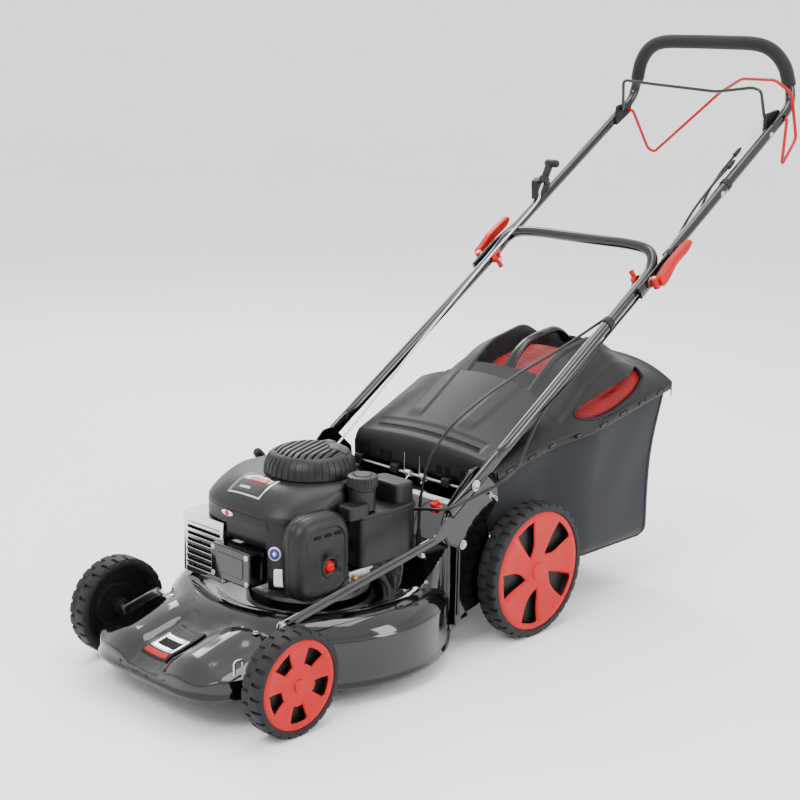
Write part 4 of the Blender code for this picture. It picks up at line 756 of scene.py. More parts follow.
def air_filter():
    """D-shaped cover, raised lip, three vents of painted shade, a recess round the primer."""
    cy, cz, face = 0.156, 0.236, 0.1525
    rings = []
    for theta in turns(160):
        edge = oval(theta, 0.06, 0.066, 0.079, 0.071, 3.6)
        line = [(0.001, face - 0.0022), (edge * 0.3, face - 0.0022), (edge * 0.55, face - 0.0026),
            (edge * 0.7, face - 0.0032), (edge * 0.735, face - 0.0028),
            (edge * 0.755, face - 0.0006), (edge * 0.8, face - 0.0006), (edge * 0.85, face - 0.002),
            (edge * 0.92, face - 0.0055), (edge * 0.97, face - 0.0105),
            (edge * 0.995, face - 0.016), (edge, face - 0.02), (edge, 0.132),
            (edge - 0.0008, 0.1312), (edge - 0.0008, 0.1296), (edge, 0.1288), (edge, 0.1125)]
        rings.append([Vector((x, cy + r * cos(theta), cz + r * sin(theta))) for r, x in line])
    bm = skin(rings, wrap=False, closed_ends=True)
    cut_out(bm, lambda p: p.x > 0.14 and hypot(p.y - PRIMER[1], p.z - PRIMER[2]) < 0.015)
    build("air_filter_shell", bm, "engine_grey", node="air_filter_cover", thick=0.0025, sharp=45,
        flip=(1, 0, 0))
    ring = lathe(mm((14.6, 138), (14.6, 150), (15.8, 151.8), (18.5, 151.8), (20.5, 149.6),
        (20.5, 148)), PRIMER, "X", 48)
    build("primer_ring", ring, "engine_grey", sharp=40, flip=(1, 0, 0))
    # Vents drawn as thin dark plates on the cover's face: painted shade in the openings.
    for i in range(3):
        y = 0.128 + i * 0.024
        build("vent_%d" % i, soft_box(0.1496, 0.15065, y, y + 0.017, 0.2775, 0.2835, 0.003, "X"),
            "painted_shade_and_dark_print")
    knob = lathe(mm((0, 152.3), (5, 152.3), (6, 151.5), (6, 148)), (0, 0.11, 0.272), "X", 24)
    build("air_filter_screw", knob, "matt_black")
    pad = lathe(mm((0, 154.8), (4.5, 154.5), (8, 152.8), (9.8, 150), (10, 148.8), (11.8, 147.8),
        (12.6, 146.6), (12.6, 145.5), (13.4, 144.5), (13.4, 138), (15, 137.5), (15, 134.5),
        (0, 134.2)), PRIMER, "X", 48)
    build("primer_button", pad, "red_plastic", "primer_bulb", "primer_bulb", sharp=50)


air_filter()
float_bowl = join(lathe(mm((0, 146.5), (12, 147), (15.5, 149), (16.5, 152), (16.5, 165.5),
    (0, 166)), (0.11, 0.256, 0), "Z", 40), soft_box(0.093, 0.128, 0.233, 0.2835, 0.1655, 0.1935,
    0.006), lathe(mm((0, 223.5), (10, 223.5), (10, 299), (0, 299)), (0.11, 0, 0.182), "Y", 32))
build("carburettor_body", float_bowl, "clear_casting", node="carburettor", bevel=0.0008, sharp=40)
jet = lathe(mm((0, 0), (4.6, 0), (5, 1), (5, 6), (3.2, 7.5), (0, 7.5)), (0.1265, 0.246, 0.178), "X",
    24)
build("carburettor_jet", jet, "brass")


# ---------------------------------------------------------------- tank
def tank_plan(grow=0.0):
    """Outline of the tank, hollow round the recoil cover's side."""
    first_y, last_y = 0.236, 0.39
    around = 0.0955 - grow
    corners = rounded_outline([(0.024 - grow, first_y), (0.152 + grow, first_y + 0.004 - grow),
        (0.154 + grow, last_y - 0.03), (0.134 + grow, last_y + grow),
        (0.024 - grow, last_y + grow)], 0.01, 6)
    keep = [c for c in corners if c[0] > 0.06 or c[1] > 0.38]
    first = [c for c in keep if c[1] < 0.3]
    others = [c for c in keep if c[1] >= 0.3]
    arc = [(around * cos(a), DECK_Y + around * sin(a)) for a in steps(1.36, 0.02, 28)]
    return first + others + arc


build("tank_body", slab(tank_plan(), 0.2008, 0.2956, "Z"), "engine_grey", node="fuel_tank",
    bevel=0.0035, sharp=40)
build("tank_flange", slab(tank_plan(0.0019), 0.2845, 0.289, "Z"), "engine_grey", bevel=0.001)
build("tank_rear_block", soft_box(0.062, 0.142, 0.337, 0.382, 0.29, 0.3318, 0.014, "Z"),
    "engine_grey", bevel=0.006)
build("tank_front_block", soft_box(0.1128, 0.1497, 0.2138, 0.2617, 0.29, 0.3158, 0.01, "Z"),
    "engine_grey", bevel=0.004)
CAP = (0.1215, 0.268)
neck = lathe(mm((19, 300), (23.5, 300), (23.5, 334.5), (22.2, 335), (22.2, 339.8), (19, 339.8),
    (19, 300)), (CAP[0], CAP[1], 0), "Z", 48)
build("tank_neck", neck, "engine_grey", sharp=40)


def ribbed(angle, radius, along):
    """Grip ribs round the cap's side."""
    if 0.3425 < along < 0.358 and radius > 0.026:
        return radius - (0.0012 if sin(angle * 26) > 0.2 else 0.0)
    return radius


cap = lathe(mm((0, 340.4), (26.5, 340.5), (27.3, 341.5), (27.4, 342.8), (27.4, 357), (26.6, 359),
    (24, 360.4), (18.5, 360.6), (18, 359.6), (16.5, 359.6), (16, 360.6), (14.5, 362), (0, 362)),
    (CAP[0], CAP[1], 0), "Z", 208, ribbed)
build("cap_ribbed", cap, "engine_grey", "fuel_cap", "fuel_cap", sharp=35)


# ---------------------------------------------------------------- brackets, links and levers
def side_slab(name, outline, x, thick, look, body="chassis", node=None, bevel=0.0008,
        round_by=0.004):
    """A flat plate in a plane of constant x, with eased corners."""
    bm = slab(rounded_outline(outline, round_by, 4), x, x + thick, "X")
    build(name, bm, look, body, node, bevel=bevel, sharp=40)


BRACKET = mm((438, 64), (438, 208), (400, 224), (396, 262), (408, 290), (468, 346), (492, 348),
    (512, 330), (545, 300), (548, 276), (520, 240), (530, 196), (572, 168), (578, 130), (552, 118),
    (500, 80), (458, 72), (442, 52))
for one, sign in SIDES:
    side_slab("bracket_" + one, BRACKET, 0.192 if sign > 0 else -0.195, 0.003, "gloss_black",
        node="handle_bracket_" + one)
    rib = [Vector((sign * 0.1962, y, z)) for y, z in ((0.444, 0.075), (0.444, 0.204),
        (0.408, 0.222), (0.404, 0.258), (0.416, 0.288), (0.472, 0.338))]
    build("bracket_fold_" + one, tube(turned_corners(rib, 0.01), 0.0022, 10), "gloss_black")
    for n, (by, bz, bx, size) in enumerate(((PIVOT_Y, PIVOT_Z, 0.2046, 0.0072),
            (0.424, 0.285, 0.1955, 0.0062), (0.454, 0.208, 0.1955, 0.0062))):
        bolt("bracket_bolt_%s_%d" % (one, n), (sign * bx, by, bz), "X", size, 0.0048,
            direction=sign)
    clip = [(sign * (0.1985 if n else 0.1975), y, z) for n,
        (y, z) in enumerate(mm((520, 296), (526, 290), (536, 279), (541, 274), (541, 281),
        (535, 285), (530, 284), (524, 290), (518, 289)))]
    build("hairpin_" + one, tube(smooth_path(clip), 0.001, 8), "zinc")
    star = lathe(mm((0, 12), (7, 12), (10, 10), (11, 4), (9, 0), (0, 0)), (0, 0, 0), "X", 60,
        lambda a, r, z: r * (1 + 0.3 * cos(5 * a)))
    place = Matrix.Translation((sign * 0.1785, 0.402, 0.286)) @ Matrix.Scale(-sign, 4, (1, 0, 0))
    bmesh.ops.transform(star, matrix=place, verts=star.verts)
    stem = lathe([(0.0045, 0.1785 * sign), (0.0045, 0.1915 * sign)], (0, 0.402, 0.286), "X", 20)
    build("knob_" + one, join(star, stem), "red_plastic", bevel=0.001)

FRONT_PIVOT, REAR_PIVOT = Vector((0, 0.065, 0.105)), Vector((0, 0.553, 0.145))
NEAR, FAR = Vector((0.2075, 0.004, 0.176)), Vector((0.2075, 0.392, 0.246))


def arm(x, start, end, width, thick):
    """A flat arm with round ends, in a plane of constant x."""
    run = Vector((0, end[1] - start[1], end[2] - start[2])).normalized()
    turn = Vector((0, -run.z, run.y))
    outline = []
    for centre, first in ((Vector((0, start[1], start[2])), pi / 2),
            (Vector((0, end[1], end[2])), -pi / 2)):
        for q in steps(first, first + pi, 12):
            p = centre + (run * cos(q) + turn * sin(q)) * (width / 2)
            outline.append((p.y, p.z))
    return slab(outline, x - thick / 2, x + thick / 2, "X")


def pin(x0, x1, y, z, radius):
    """A round bar across the mower."""
    ease_by = 0.0006 if x1 > x0 else -0.0006
    return lathe([(0.0, x0), (radius - 0.0006, x0), (radius, x0 + ease_by), (radius, x1 - ease_by),
        (radius - 0.0006, x1), (0.0, x1)], (0, y, z), "X", 28)


axle = [pin(-0.208, 0.208, FRONT_PIVOT.y, FRONT_PIVOT.z, 0.006),
    arm(0.2055, FRONT_PIVOT, NEAR, 0.014, 0.0028)]
shaft = [pin(-0.2398, 0.2398, REAR_Y, REAR_R, 0.006)]
for sign in (-1, 1):
    axle += [pin(sign * 0.204, sign * 0.2555, 0, FRONT_R, 0.006),
        arm(sign * 0.206, FRONT_PIVOT, (0, 0, FRONT_R), 0.018, 0.004)]
    shaft += [pin(sign * 0.177, sign * 0.1965, REAR_PIVOT.y, REAR_PIVOT.z, 0.006),
        arm(sign * 0.179, REAR_PIVOT, (0, REAR_Y, REAR_R), 0.018, 0.004)]
build("front_cranks", join(*axle), "zinc", "front_axle", "front_axle", bevel=0.0004)
build("rear_cranks", join(*shaft), "zinc", "rear_axle", "rear_axle", bevel=0.0004)

run = (FAR - NEAR).normalized()
lift = Vector((0, -run.z, run.y)) * 0.0085
bend, top = NEAR.lerp(FAR, 0.93), FAR + Vector((0, 0.012, 0.026))
rod_line = [NEAR - run * 0.009 - lift, NEAR - run * 0.009 + lift, bend + lift,
    top + Vector((0, -0.014, 0.004)), top + Vector((0, 0.002, 0.004)), FAR + Vector((0, 0.008, 0))
    - lift * 0.3, bend + run * 0.01 - lift]
side_slab("height_link", [(p.y, p.z) for p in rod_line], 0.2087, 0.0028, "gloss_black", "link_rod",
    "link_rod", round_by=0.006)
rod_rib = tube([NEAR.lerp(FAR, t) + Vector((0.004, 0, 0.0)) for t in (0.02, 0.5, 0.92)], 0.0022, 10)
build("height_link_rib", rod_rib, "gloss_black", "link_rod")
bolt("link_bolt", (0.2115, NEAR.y, NEAR.z), "X", 0.0055, 0.004, "link_rod")
LEVER, LEVER_TOP = Vector((-0.205, 0.418, 0.196)), Vector((-0.205, 0.332, 0.298))
along = (LEVER_TOP - LEVER).normalized()
build("height_lever_arm", arm(-0.205, LEVER, LEVER_TOP, 0.014, 0.003), "gloss_black",
    "height_lever", "height_lever", bevel=0.0005)
lever_grip = tube([LEVER_TOP + along * d for d in steps(-0.002, 0.0425, 24)], 0.0095, 28,
    lambda t: (1 - 0.28 * (abs(t - 0.5) * 2) ** 6) * (1 - 0.05 * (int(t * 24) % 3 == 0)))
build("height_lever_grip", lever_grip, "matt_black", "height_lever")
bolt("lever_bolt", (-0.2066, LEVER.y, LEVER.z), "X", 0.006, 0.004, "height_lever", direction=-1)
teeth = [((0.075 - 0.003 * (i % 2)) * cos(radians(102 + i * 3.4)), (0.075 - 0.003 * (i % 2))
    * sin(radians(102 + i * 3.4))) for i in range(21)]
teeth += [(-0.03, 0.01), (-0.01, -0.012), (0.016, -0.012), (0.02, 0.012)]
quadrant = [(LEVER.y + u, LEVER.z + v) for u, v in teeth]
build("lever_quadrant", slab(quadrant, -0.2026, -0.1996, "X"), "zinc", node="height_quadrant",
    bevel=0.0003)


# ---------------------------------------------------------------- handle
def on_tubes(points):
    return [Vector((x, y, on_handle(y, lift))) for x, y, lift in points]


def both_sides(near):
    """Points up the left side, and their mirror images down the right."""
    return near + [Vector((-p.x, p.y, p.z)) for p in near[::-1]]


def pressed(first, last):
    """A tube's shape: pressed flat up to first and round from last, measured from both ends."""
    def shape(t):
        part = ease(min(t, 1 - t), first, last)
        return 0.37 + 0.63 * part, 1.25 - 0.25 * part
    return shape


lower = on_tubes(mm((200, 412, 0), (200, 470, 0), (200, 526, 0), (200, 540, 0), (200, 560, 0),
    (200, 740, 0), (200, 900, 0), (200, 955, 0), (198.5, 985, 3), (190, 1003, 12), (168, 1011, 19)))
lower += [Vector((0.12, 1.014, 0.702)), Vector((0.04, 1.014, 0.702))]
build("lower_tubes", tube(smooth_path(both_sides(lower), 5), TUBE_R, 28, pressed(0.077, 0.1)),
    "gloss_black", "lower_handle", "lower_handle", sharp=50)
LOOP = [Vector(p) for p in mm((207, 1445, 965), (205, 1458.5, 985), (200, 1461, 1012),
    (187, 1456, 1055), (160, 1450, 1086), (120, 1446, 1100), (50, 1445, 1102))]
upper = on_tubes(mm((216, 930, 0), (216, 960, 0), (216, 990, 0), (214, 1015, 0), (207.5, 1055, 0),
    (207.5, 1120, 0), (207.5, 1250, 0), (207.5, 1380, 0), (207.5, 1425, 0))) + LOOP
build("upper_tubes", tube(smooth_path(both_sides(upper), 5), TUBE_R, 28, pressed(0.04, 0.085)),
    "gloss_black", "upper_handle", "upper_handle", sharp=50)
grip_path = smooth_path(both_sides(LOOP[2:]), 8)
build("grip_foam", tube(grip_path, 0.0152, 32, eased_ends(0.9, 0.008), 0.0123), "foam",
    "upper_handle", "foam_grip", sharp=60)
BAIL = Vector((0, 1.392, on_handle(1.392, 0.017)))
DRIVE = Vector((0, 1.42, on_handle(1.42)))
for one, sign in SIDES:
    y0, y1 = BAIL.y - 0.014, DRIVE.y + 0.012
    plate = [(y0, on_handle(y0, -0.006)), (y1, on_handle(y1, -0.01)), (y1, on_handle(y1, 0.01)),
        (BAIL.y + 0.006, BAIL.z + 0.012), (BAIL.y - 0.012, BAIL.z + 0.008)]
    side_slab("bail_plate_" + one, plate, 0.1905 if sign > 0 else -0.1985, 0.008, "matt_black",
        "upper_handle", bevel=0.0015, round_by=0.006)
    for n, at in enumerate((1.2, 1.372)):
        bolt("tube_bolt_%s_%d" % (one, n), (sign * 0.218, at, on_handle(at)), "X", 0.0046, 0.0034,
            "upper_handle", direction=sign)


def bail(name, corners, look, node):
    """A wire with rounded corners, on the body of its CAD node's name."""
    build(name, tube(turned_corners(corners, 0.012), 0.0035, 16), look, node, node, sharp=50)


bail("bail_stop", [(0.1955, BAIL.y, BAIL.z), (0.1855, BAIL.y, BAIL.z), (0.18, 1.381, 1.004),
    (0.16, 1.38, 1.01), (0.07, 1.38, 0.998), (-0.1, 1.38, 1.008), (-0.18, 1.381, 1.014),
    (-0.1855, BAIL.y, BAIL.z), (-0.1955, BAIL.y, BAIL.z)], "gloss_black", "stop_bail")
bail("bail_drive", [(-0.1955, DRIVE.y, DRIVE.z), (-0.178, DRIVE.y, DRIVE.z), (-0.176, 1.485, 0.856),
    (-0.168, 1.5, 0.848), (0.015, 1.478, 0.992), (0.095, 1.438, 1.026), (0.2, 1.402, 1.027),
    (0.232, 1.418, 1.0), (0.234, 1.446, 0.905), (0.23, 1.402, 0.85), (0.224, DRIVE.y, DRIVE.z),
    (0.2195, DRIVE.y, DRIVE.z)], "red_paint", "drive_bail")

PADDLE = mm((1, -12), (20, -12), (40, -6), (60, 0), (104, -2), (122, 4), (124, 13), (100, 17.5),
    (52, 19), (22, 14), (1, 12))
for one, sign in SIDES:
    clamp = Vector((0, CLAMP_Y, CLAMP_Z))
    lever = "quick_lever_" + one
    outline = [(clamp + ALONG * u + OUT_OF * v) for u, v in rounded_outline(PADDLE, 0.008, 5)]
    x0 = 0.2316 if sign > 0 else -0.2452
    build("paddle_" + one, slab([(p.y, p.z) for p in outline], x0, x0 + 0.0136, "X"), "red_plastic",
        lever, lever, bevel=0.0028, sharp=45)
    inset = [(clamp + ALONG * u + OUT_OF * v) for u,
        v in rounded_outline(mm((30, 2), (60, 4.5), (110, 3.5), (112, 9.5), (60, 12.5), (30, 8.5)),
        0.003)]
    build("paddle_rib_" + one, slab([(p.y, p.z) for p in inset], sign * 0.244, sign * 0.2462, "X"),
        "red_plastic", lever, bevel=0.0008)
    cam = tube([clamp + Vector((sign * 0.23, 0, 0)) + OUT_OF * d
        for d in (-0.012, -0.011, 0.011, 0.012)], 0.008, 28, eased_ends(0.9, 0.04))
    build("paddle_cam_" + one, cam, "red_plastic", lever, sharp=40)
    cross = tube([clamp + Vector((sign * 0.23, 0, 0)) + OUT_OF * d for d in (-0.0135, 0.0135)],
        0.0034, 18)
    build("paddle_pin_" + one, cross, "zinc", lever, bevel=0.0005)
    washer = lathe([(0.0045, 0.2217 * sign), (0.011, 0.2217 * sign), (0.011, 0.2205 * sign),
        (0.0045, 0.2205 * sign)], clamp, "X", 32)
    build("clamp_washer_" + one, washer, "zinc", "upper_handle")
    nut = [lathe([(0.0, 0.1746 * sign), (0.007, 0.1746 * sign), (0.0085, 0.176 * sign),
        (0.0092, 0.185 * sign), (0.01, 0.1872 * sign), (0.01, 0.188 * sign), (0.0, 0.188 * sign)],
        clamp, "X", 36)]
    for turn in (-1, 1):
        start = clamp + Vector((sign * 0.1815, 0, 0))
        tip = clamp + Vector((sign * 0.1725, 0, 0)) + (OUT_OF * 0.0175 + ALONG * 0.0055) * turn
        nut.append(tube([start.lerp(tip, t) for t in steps(0, 1, 8)], 0.0044, 20,
            lambda t: (0.75 + 0.35 * sin(pi * min(1, t * 0.8 + 0.1)), 1.0 + 0.25 * t)))
    build("wing_" + one, join(*nut), "red_plastic", "wing_nut_" + one, "wing_nut_" + one, sharp=45)
    thread = lathe([(0.0, 0.1732 * sign), (0.0036, 0.1736 * sign), (0.0038, 0.2213 * sign),
        (0.0, 0.2213 * sign)], clamp, "X", 24)
    build("clamp_bolt_" + one, thread, "zinc", "wing_nut_" + one)

# ---------------------------------------------------------------- rope, its guide and the cables
PULL = Vector((0, cos(radians(62)), sin(radians(62))))
GUIDE = Vector((-0.183, 1.112, on_handle(1.112, 0.05)))
saddle = [(1.112, on_handle(1.112, 0.0116)), (1.156, on_handle(1.156, 0.0116)),
    (1.156, on_handle(1.156, 0.02)), (1.124, GUIDE.z + 0.004), (1.108, GUIDE.z - 0.004)]
eye = tube([GUIDE - PULL * 0.007, GUIDE - PULL * 0.006, GUIDE + PULL * 0.006, GUIDE + PULL * 0.007],
    0.012, 36, eased_ends(0.92, 0.07), 0.0045)
guide = join(slab(rounded_outline(saddle, 0.005), -0.2155, -0.1995, "X"), eye,
    tube([GUIDE, (-0.2075, 1.12, GUIDE.z - 0.006)], 0.0055, 20))
build("guide_eye", guide, "matt_black", "upper_handle", "rope_guide", bevel=0.0008)
base, head = GUIDE + PULL * 0.0075, GUIDE + PULL * 0.0405
grip = join(tube([base, base + PULL * 0.002, base + PULL * 0.012, base + PULL * 0.03], 0.0085, 30,
    lambda t: 0.86 + 0.14 * ease(t, 0, 0.1)),
    tube([head + Vector((x, 0, 0)) for x in steps(-0.011, 0.022, 20)], 0.0085, 30,
    lambda t: 1 - 0.3 * (abs(t - 0.5) * 2) ** 8))
build("pull_grip", grip, "matt_black", "starter_grip", "starter_grip", sharp=50)

START = Vector((-0.044, 0.353, 0.364))
END = GUIDE + PULL * 0.0055
rope = smooth_path([START, START + Vector((-0.004, 0.03, 0.01)),
    START.lerp(END, 0.35) + Vector((0, 0, -0.012)), START.lerp(END, 0.7) + Vector((0, 0, -0.02)),
    GUIDE - PULL * 0.06, GUIDE - PULL * 0.025, END], 14)


def crossing(name, path, radius, cuts, look, node):
    """A cable as two pieces, split at one of the cuts, on no body; cuts are indices into the path.
    """
    first_end, second_start, split, second_end = cuts
    low = build(name + "_low", tube(path[:split + 1], radius, 14), look, None, node)
    high = build(name + "_high", tube(path[split:], radius, 14), look, None)
    for piece, bodies, start, end in ((low, ("chassis", "lower_handle"), first_end, split),
            (high, ("lower_handle", "upper_handle"), second_start, second_end)):
        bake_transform(piece)


crossing("rope", rope, 0.0021, (2, 46, 42, 82), "rope", "starter_rope")
drive = [Vector(p) for p in mm((130, 405, 203), (130, 405, 240), (131, 408, 295), (138, 420, 360),
    (148, 460, 415), (156, 530, 456), (166, 630, 496), (175, 740, 530))]
drive += on_tubes(mm((184.5, 848, 3), (188, 900, -11), (196, 935, -16.2), (196, 1040, -16.2),
    (189, 1090, -7), (189, 1140, 7), (193, 1200, 15), (196, 1260, 15)))
crossing("cable_drive", smooth_path(drive, 8), CABLE_R, (4, 76, 64, 92), "sheath", "drive_cable")
stop = [Vector(p) for p in mm((120, 398, 270), (170, 386, 284), (198, 383, 290), (214, 400, 295),
    (219, 450, 304), (219, 555, 325), (216, 605, 380), (213, 650, 428))]
stop += on_tubes(mm((204, 760, -19), (204, 848, -16.2), (204.5, 1040, -16.5), (204, 1095, -16.5),
    (195, 1140, -13), (186, 1185, 0), (185, 1230, 11), (187, 1295, 15)))
crossing("cable_stop", smooth_path(stop, 8), CABLE_R, (36, 74, 72, 82), "sheath", "stop_cable")
for n, (at, body, low, wide) in enumerate(((0.852, "lower_handle", 0.2, 0.015),
        (1.03, "upper_handle", 0.212, 0.0145), (1.225, "upper_handle", 0.2075, 0.0145))):
    band = tube([Vector((low, at + d, on_handle(at + d))) for d in (-0.006, -0.0052, 0.0052,
        0.006)], wide - 0.0018, 36, eased_ends(0.95, 0.07), 0.0112)
    lug = tube([Vector((low - 0.006, at + d, on_handle(at + d, -0.015))) for d in (-0.006, 0.006)],
        0.0062, 20)
    build("cable_clip_%d" % n, join(band, lug), "matt_black", body, bevel=0.0006)
for n, (x, at, wire_end) in enumerate(((0.196, 1.26, (0.193, 1.408, 0.008)),
        (0.187, 1.295, (0.19, 1.386, 0.02)))):
    tip, goal = on_tubes([(x, at, 0.015), wire_end])
    barrel = tube([tip + ALONG * d for d in (-0.014, -0.013, 0.004, 0.01, 0.012)], 0.0048, 24,
        lambda t: 1.0 - 0.45 * ease(t, 0.6, 0.9))
    build("ferrule_%d" % n, barrel, "matt_black", "upper_handle", sharp=50)
    build("inner_wire_%d" % n, tube([tip + ALONG * 0.01, goal], 0.0008, 10), "zinc", "upper_handle")
gland = tube([Vector((0.13, 0.405, z)) for z in steps(0.188, 0.234, 40)], 0.0068, 24,
    lambda t: (1.0 - 0.42 * t) * (1 - 0.16 * (int(t * 40) % 4 > 1)), 0.003)
build("cable_gland", gland, "matt_black", sharp=50)


# ---------------------------------------------------------------- flap
FLAP_Y, FLAP_Z, FLAP_HALF, FLAP_BACK = 0.527, 0.284, 0.172, 0.722


def flap_height(x, y):
    """Sloping crowned top with two shallow raised channels and a low band near the front."""
    part = (y - 0.538) / (FLAP_BACK - 0.538)
    height = 0.34 + 0.082 * part + (0.01 + 0.026 * part) * (1 - (x / FLAP_HALF) ** 2)
    fan = 0.045 + 0.02 * part
    height += 0.003 * (ease(abs(x), fan - 0.004, fan) - ease(abs(x), fan + 0.03,
        fan + 0.036)) * ease(y, 0.585, 0.61)
    height -= 0.0016 * (ease(y, 0.552, 0.555) - ease(y, 0.577, 0.58)) * (1 - ease(abs(x), 0.14,
        0.143))
    return height


def flap():
    across = [-1.0, -0.998, -0.994, -0.985] + steps(-0.97, 0.97, 96) + [0.985, 0.994, 0.998, 1.0]
    rings = []
    for part in across:
        x = part * FLAP_HALF
        drop = 0.01 * max(0.0, (abs(part) - 0.97) / 0.03) ** 1.5
        line = [Vector((x, 0.5345, FLAP_Z + 0.0065)), Vector((x, 0.5338, 0.303)),
            Vector((x, 0.5335, 0.32))]
        for q in steps(0.05, 1, 5):
            front = flap_height(x, 0.546)
            line.append(Vector((x, 0.5335 + 0.0125 * (1 - cos(q * pi / 2)),
                0.322 + (front - 0.322) * sin(q * pi / 2) - drop)))
        for y in steps(0.5485, FLAP_BACK - 0.003, 58) + [FLAP_BACK - 0.001, FLAP_BACK]:
            line.append(Vector((x, y, flap_height(x, y) - drop - 0.002 * ease(y, FLAP_BACK - 0.003,
                FLAP_BACK))))
        rings.append(line)
    build("flap_shell", skin(rings, wrap=False), "matt_black", "rear_flap", "rear_flap",
        thick=0.0028, sharp=48, flip=(0, 0, 1))


flap()
# Dark plates on the flap's front face: painted shade in its recesses.
for n, x in enumerate((-0.152, -0.132, -0.094, -0.074, 0.058, 0.08, 0.118, 0.14)):
    recess = soft_box(x - 0.006, x + 0.006, 0.533, 0.5342, 0.2985, 0.315, 0.002)
    build("flap_recess_%d" % n, recess, "painted_shade_and_dark_print", "rear_flap")
ribs = []
for i in range(46):
    x = -0.1305 + i * 0.0058
    z = flap_height(x, 0.5655)
    ribs.append(block(x - 0.0011, x + 0.0011, 0.5575, 0.5745, z - 0.0006, z + 0.0009))
build("flap_band", join(*ribs), "matt_black", "rear_flap")
for x in (-0.15, -0.05, 0.085, 0.15):
    knuckle = soft_box(x - 0.01, x + 0.01, 0.52, 0.537, 0.277, 0.296, 0.006, "X")
    build("flap_knuckle_%d" % int(x * 1000), knuckle, "matt_black", "rear_flap", bevel=0.001)
build("hinge_rod", pin(-0.1955, 0.1955, FLAP_Y, FLAP_Z, 0.003), "zinc", node="flap_rod")
for one, x in (("left", 0.02), ("right", -0.02)):
    leg = tube([Vector((x, FLAP_Y - 0.0064, FLAP_Z + d)) for d in (0.042, 0.02, 0.0)], 0.00105, 10)
    build("spring_leg_" + one, leg, "badge_silver", "rear_flap", sharp=60)
    coil = []
    for i in range(5 * 24 + 1):
        q = pi - tau * i / 24
        coil.append(Vector((x + 0.0027 * i / 24, FLAP_Y + 0.0064 * cos(q),
            FLAP_Z + 0.0064 * sin(q))))
    coil.append(coil[-1] + Vector((0.001, -0.012, -0.007)))
    build("spring_" + one, tube(coil, 0.00105, 10), "badge_silver", node="flap_spring_" + one,
        sharp=60)


# ---------------------------------------------------------------- bag lid
BAG_FRONT, BAG_REAR, BAG_SLOPE = 0.548, 1.02, 0.203


def bag_rim(y):
    """Height of the line where the lid meets the tub."""
    return 0.318 + BAG_SLOPE * (y - 0.545)


def bag_half(y):
    return 0.176 + 0.027 * ease(y, 0.7, 0.83)


def bag_floor(y):
    return 0.196 - 0.101 * ease(y, 0.655, 0.8)


def lid_crown(y):
    crown = 0.022 + 0.038 * ease(y, 0.56, 0.72) + 0.062 * ease(y, 0.715, 0.86)
    return crown - 0.08 * ease(y, 0.93, 1.065)


def lid_top(x, y, hollow=True):
    """Crowned top with a hand recess, a raised border round it, and sweeping ridges."""
    half = bag_half(y) + 0.008
    share = min(1.0, abs(x) / half)
    height = bag_rim(y) + lid_crown(y) * (1 - share ** 3.2)
    deep = ease(y, 0.79, 0.8) * (1 - ease(y, 0.975, 0.985)) * (1 - ease(abs(x), 0.076, 0.084))
    if hollow:
        height -= 0.042 * deep
    rise = ease(y, 0.735, 0.76) * (1 - ease(y, 1.0, 1.04))
    height += 0.0032 * rise * ease(abs(x), 0.08, 0.088) * (1 - ease(abs(x), 0.094, 0.1))
    sweep = 0.132 - 0.02 * ease(y, 0.76, 0.98)
    height -= 0.005 * rise * (ease(abs(x), sweep, sweep + 0.01) - ease(abs(x), sweep + 0.03,
        sweep + 0.048))
    return height


LEAF = rounded_outline(mm((777, 389), (804, 411), (858, 427), (923, 441), (1004, 457), (1008, 451),
    (1004, 436), (941, 409), (872, 389), (813, 383)), 0.03, 5)


def inside_leaf(y, z):
    """Whether a point of the lid's side is inside the window's outline."""
    odd = False
    for (y0, z0), (y1, z1) in zip(LEAF, LEAF[1:] + LEAF[:1]):
        if (z0 > z) != (z1 > z) and y < y0 + (z - z0) * (y1 - y0) / (z1 - z0):
            odd = not odd
    return odd


def lid_side(y, z, sign, inward=0.0):
    """The point of the lid's side at a height."""
    half, crown = bag_half(y) + 0.008, lid_crown(y)
    share = max(0.0, 1 - (z - bag_rim(y)) / crown) ** (1 / 3.2)
    return Vector((sign * (half * share - inward), y, z))


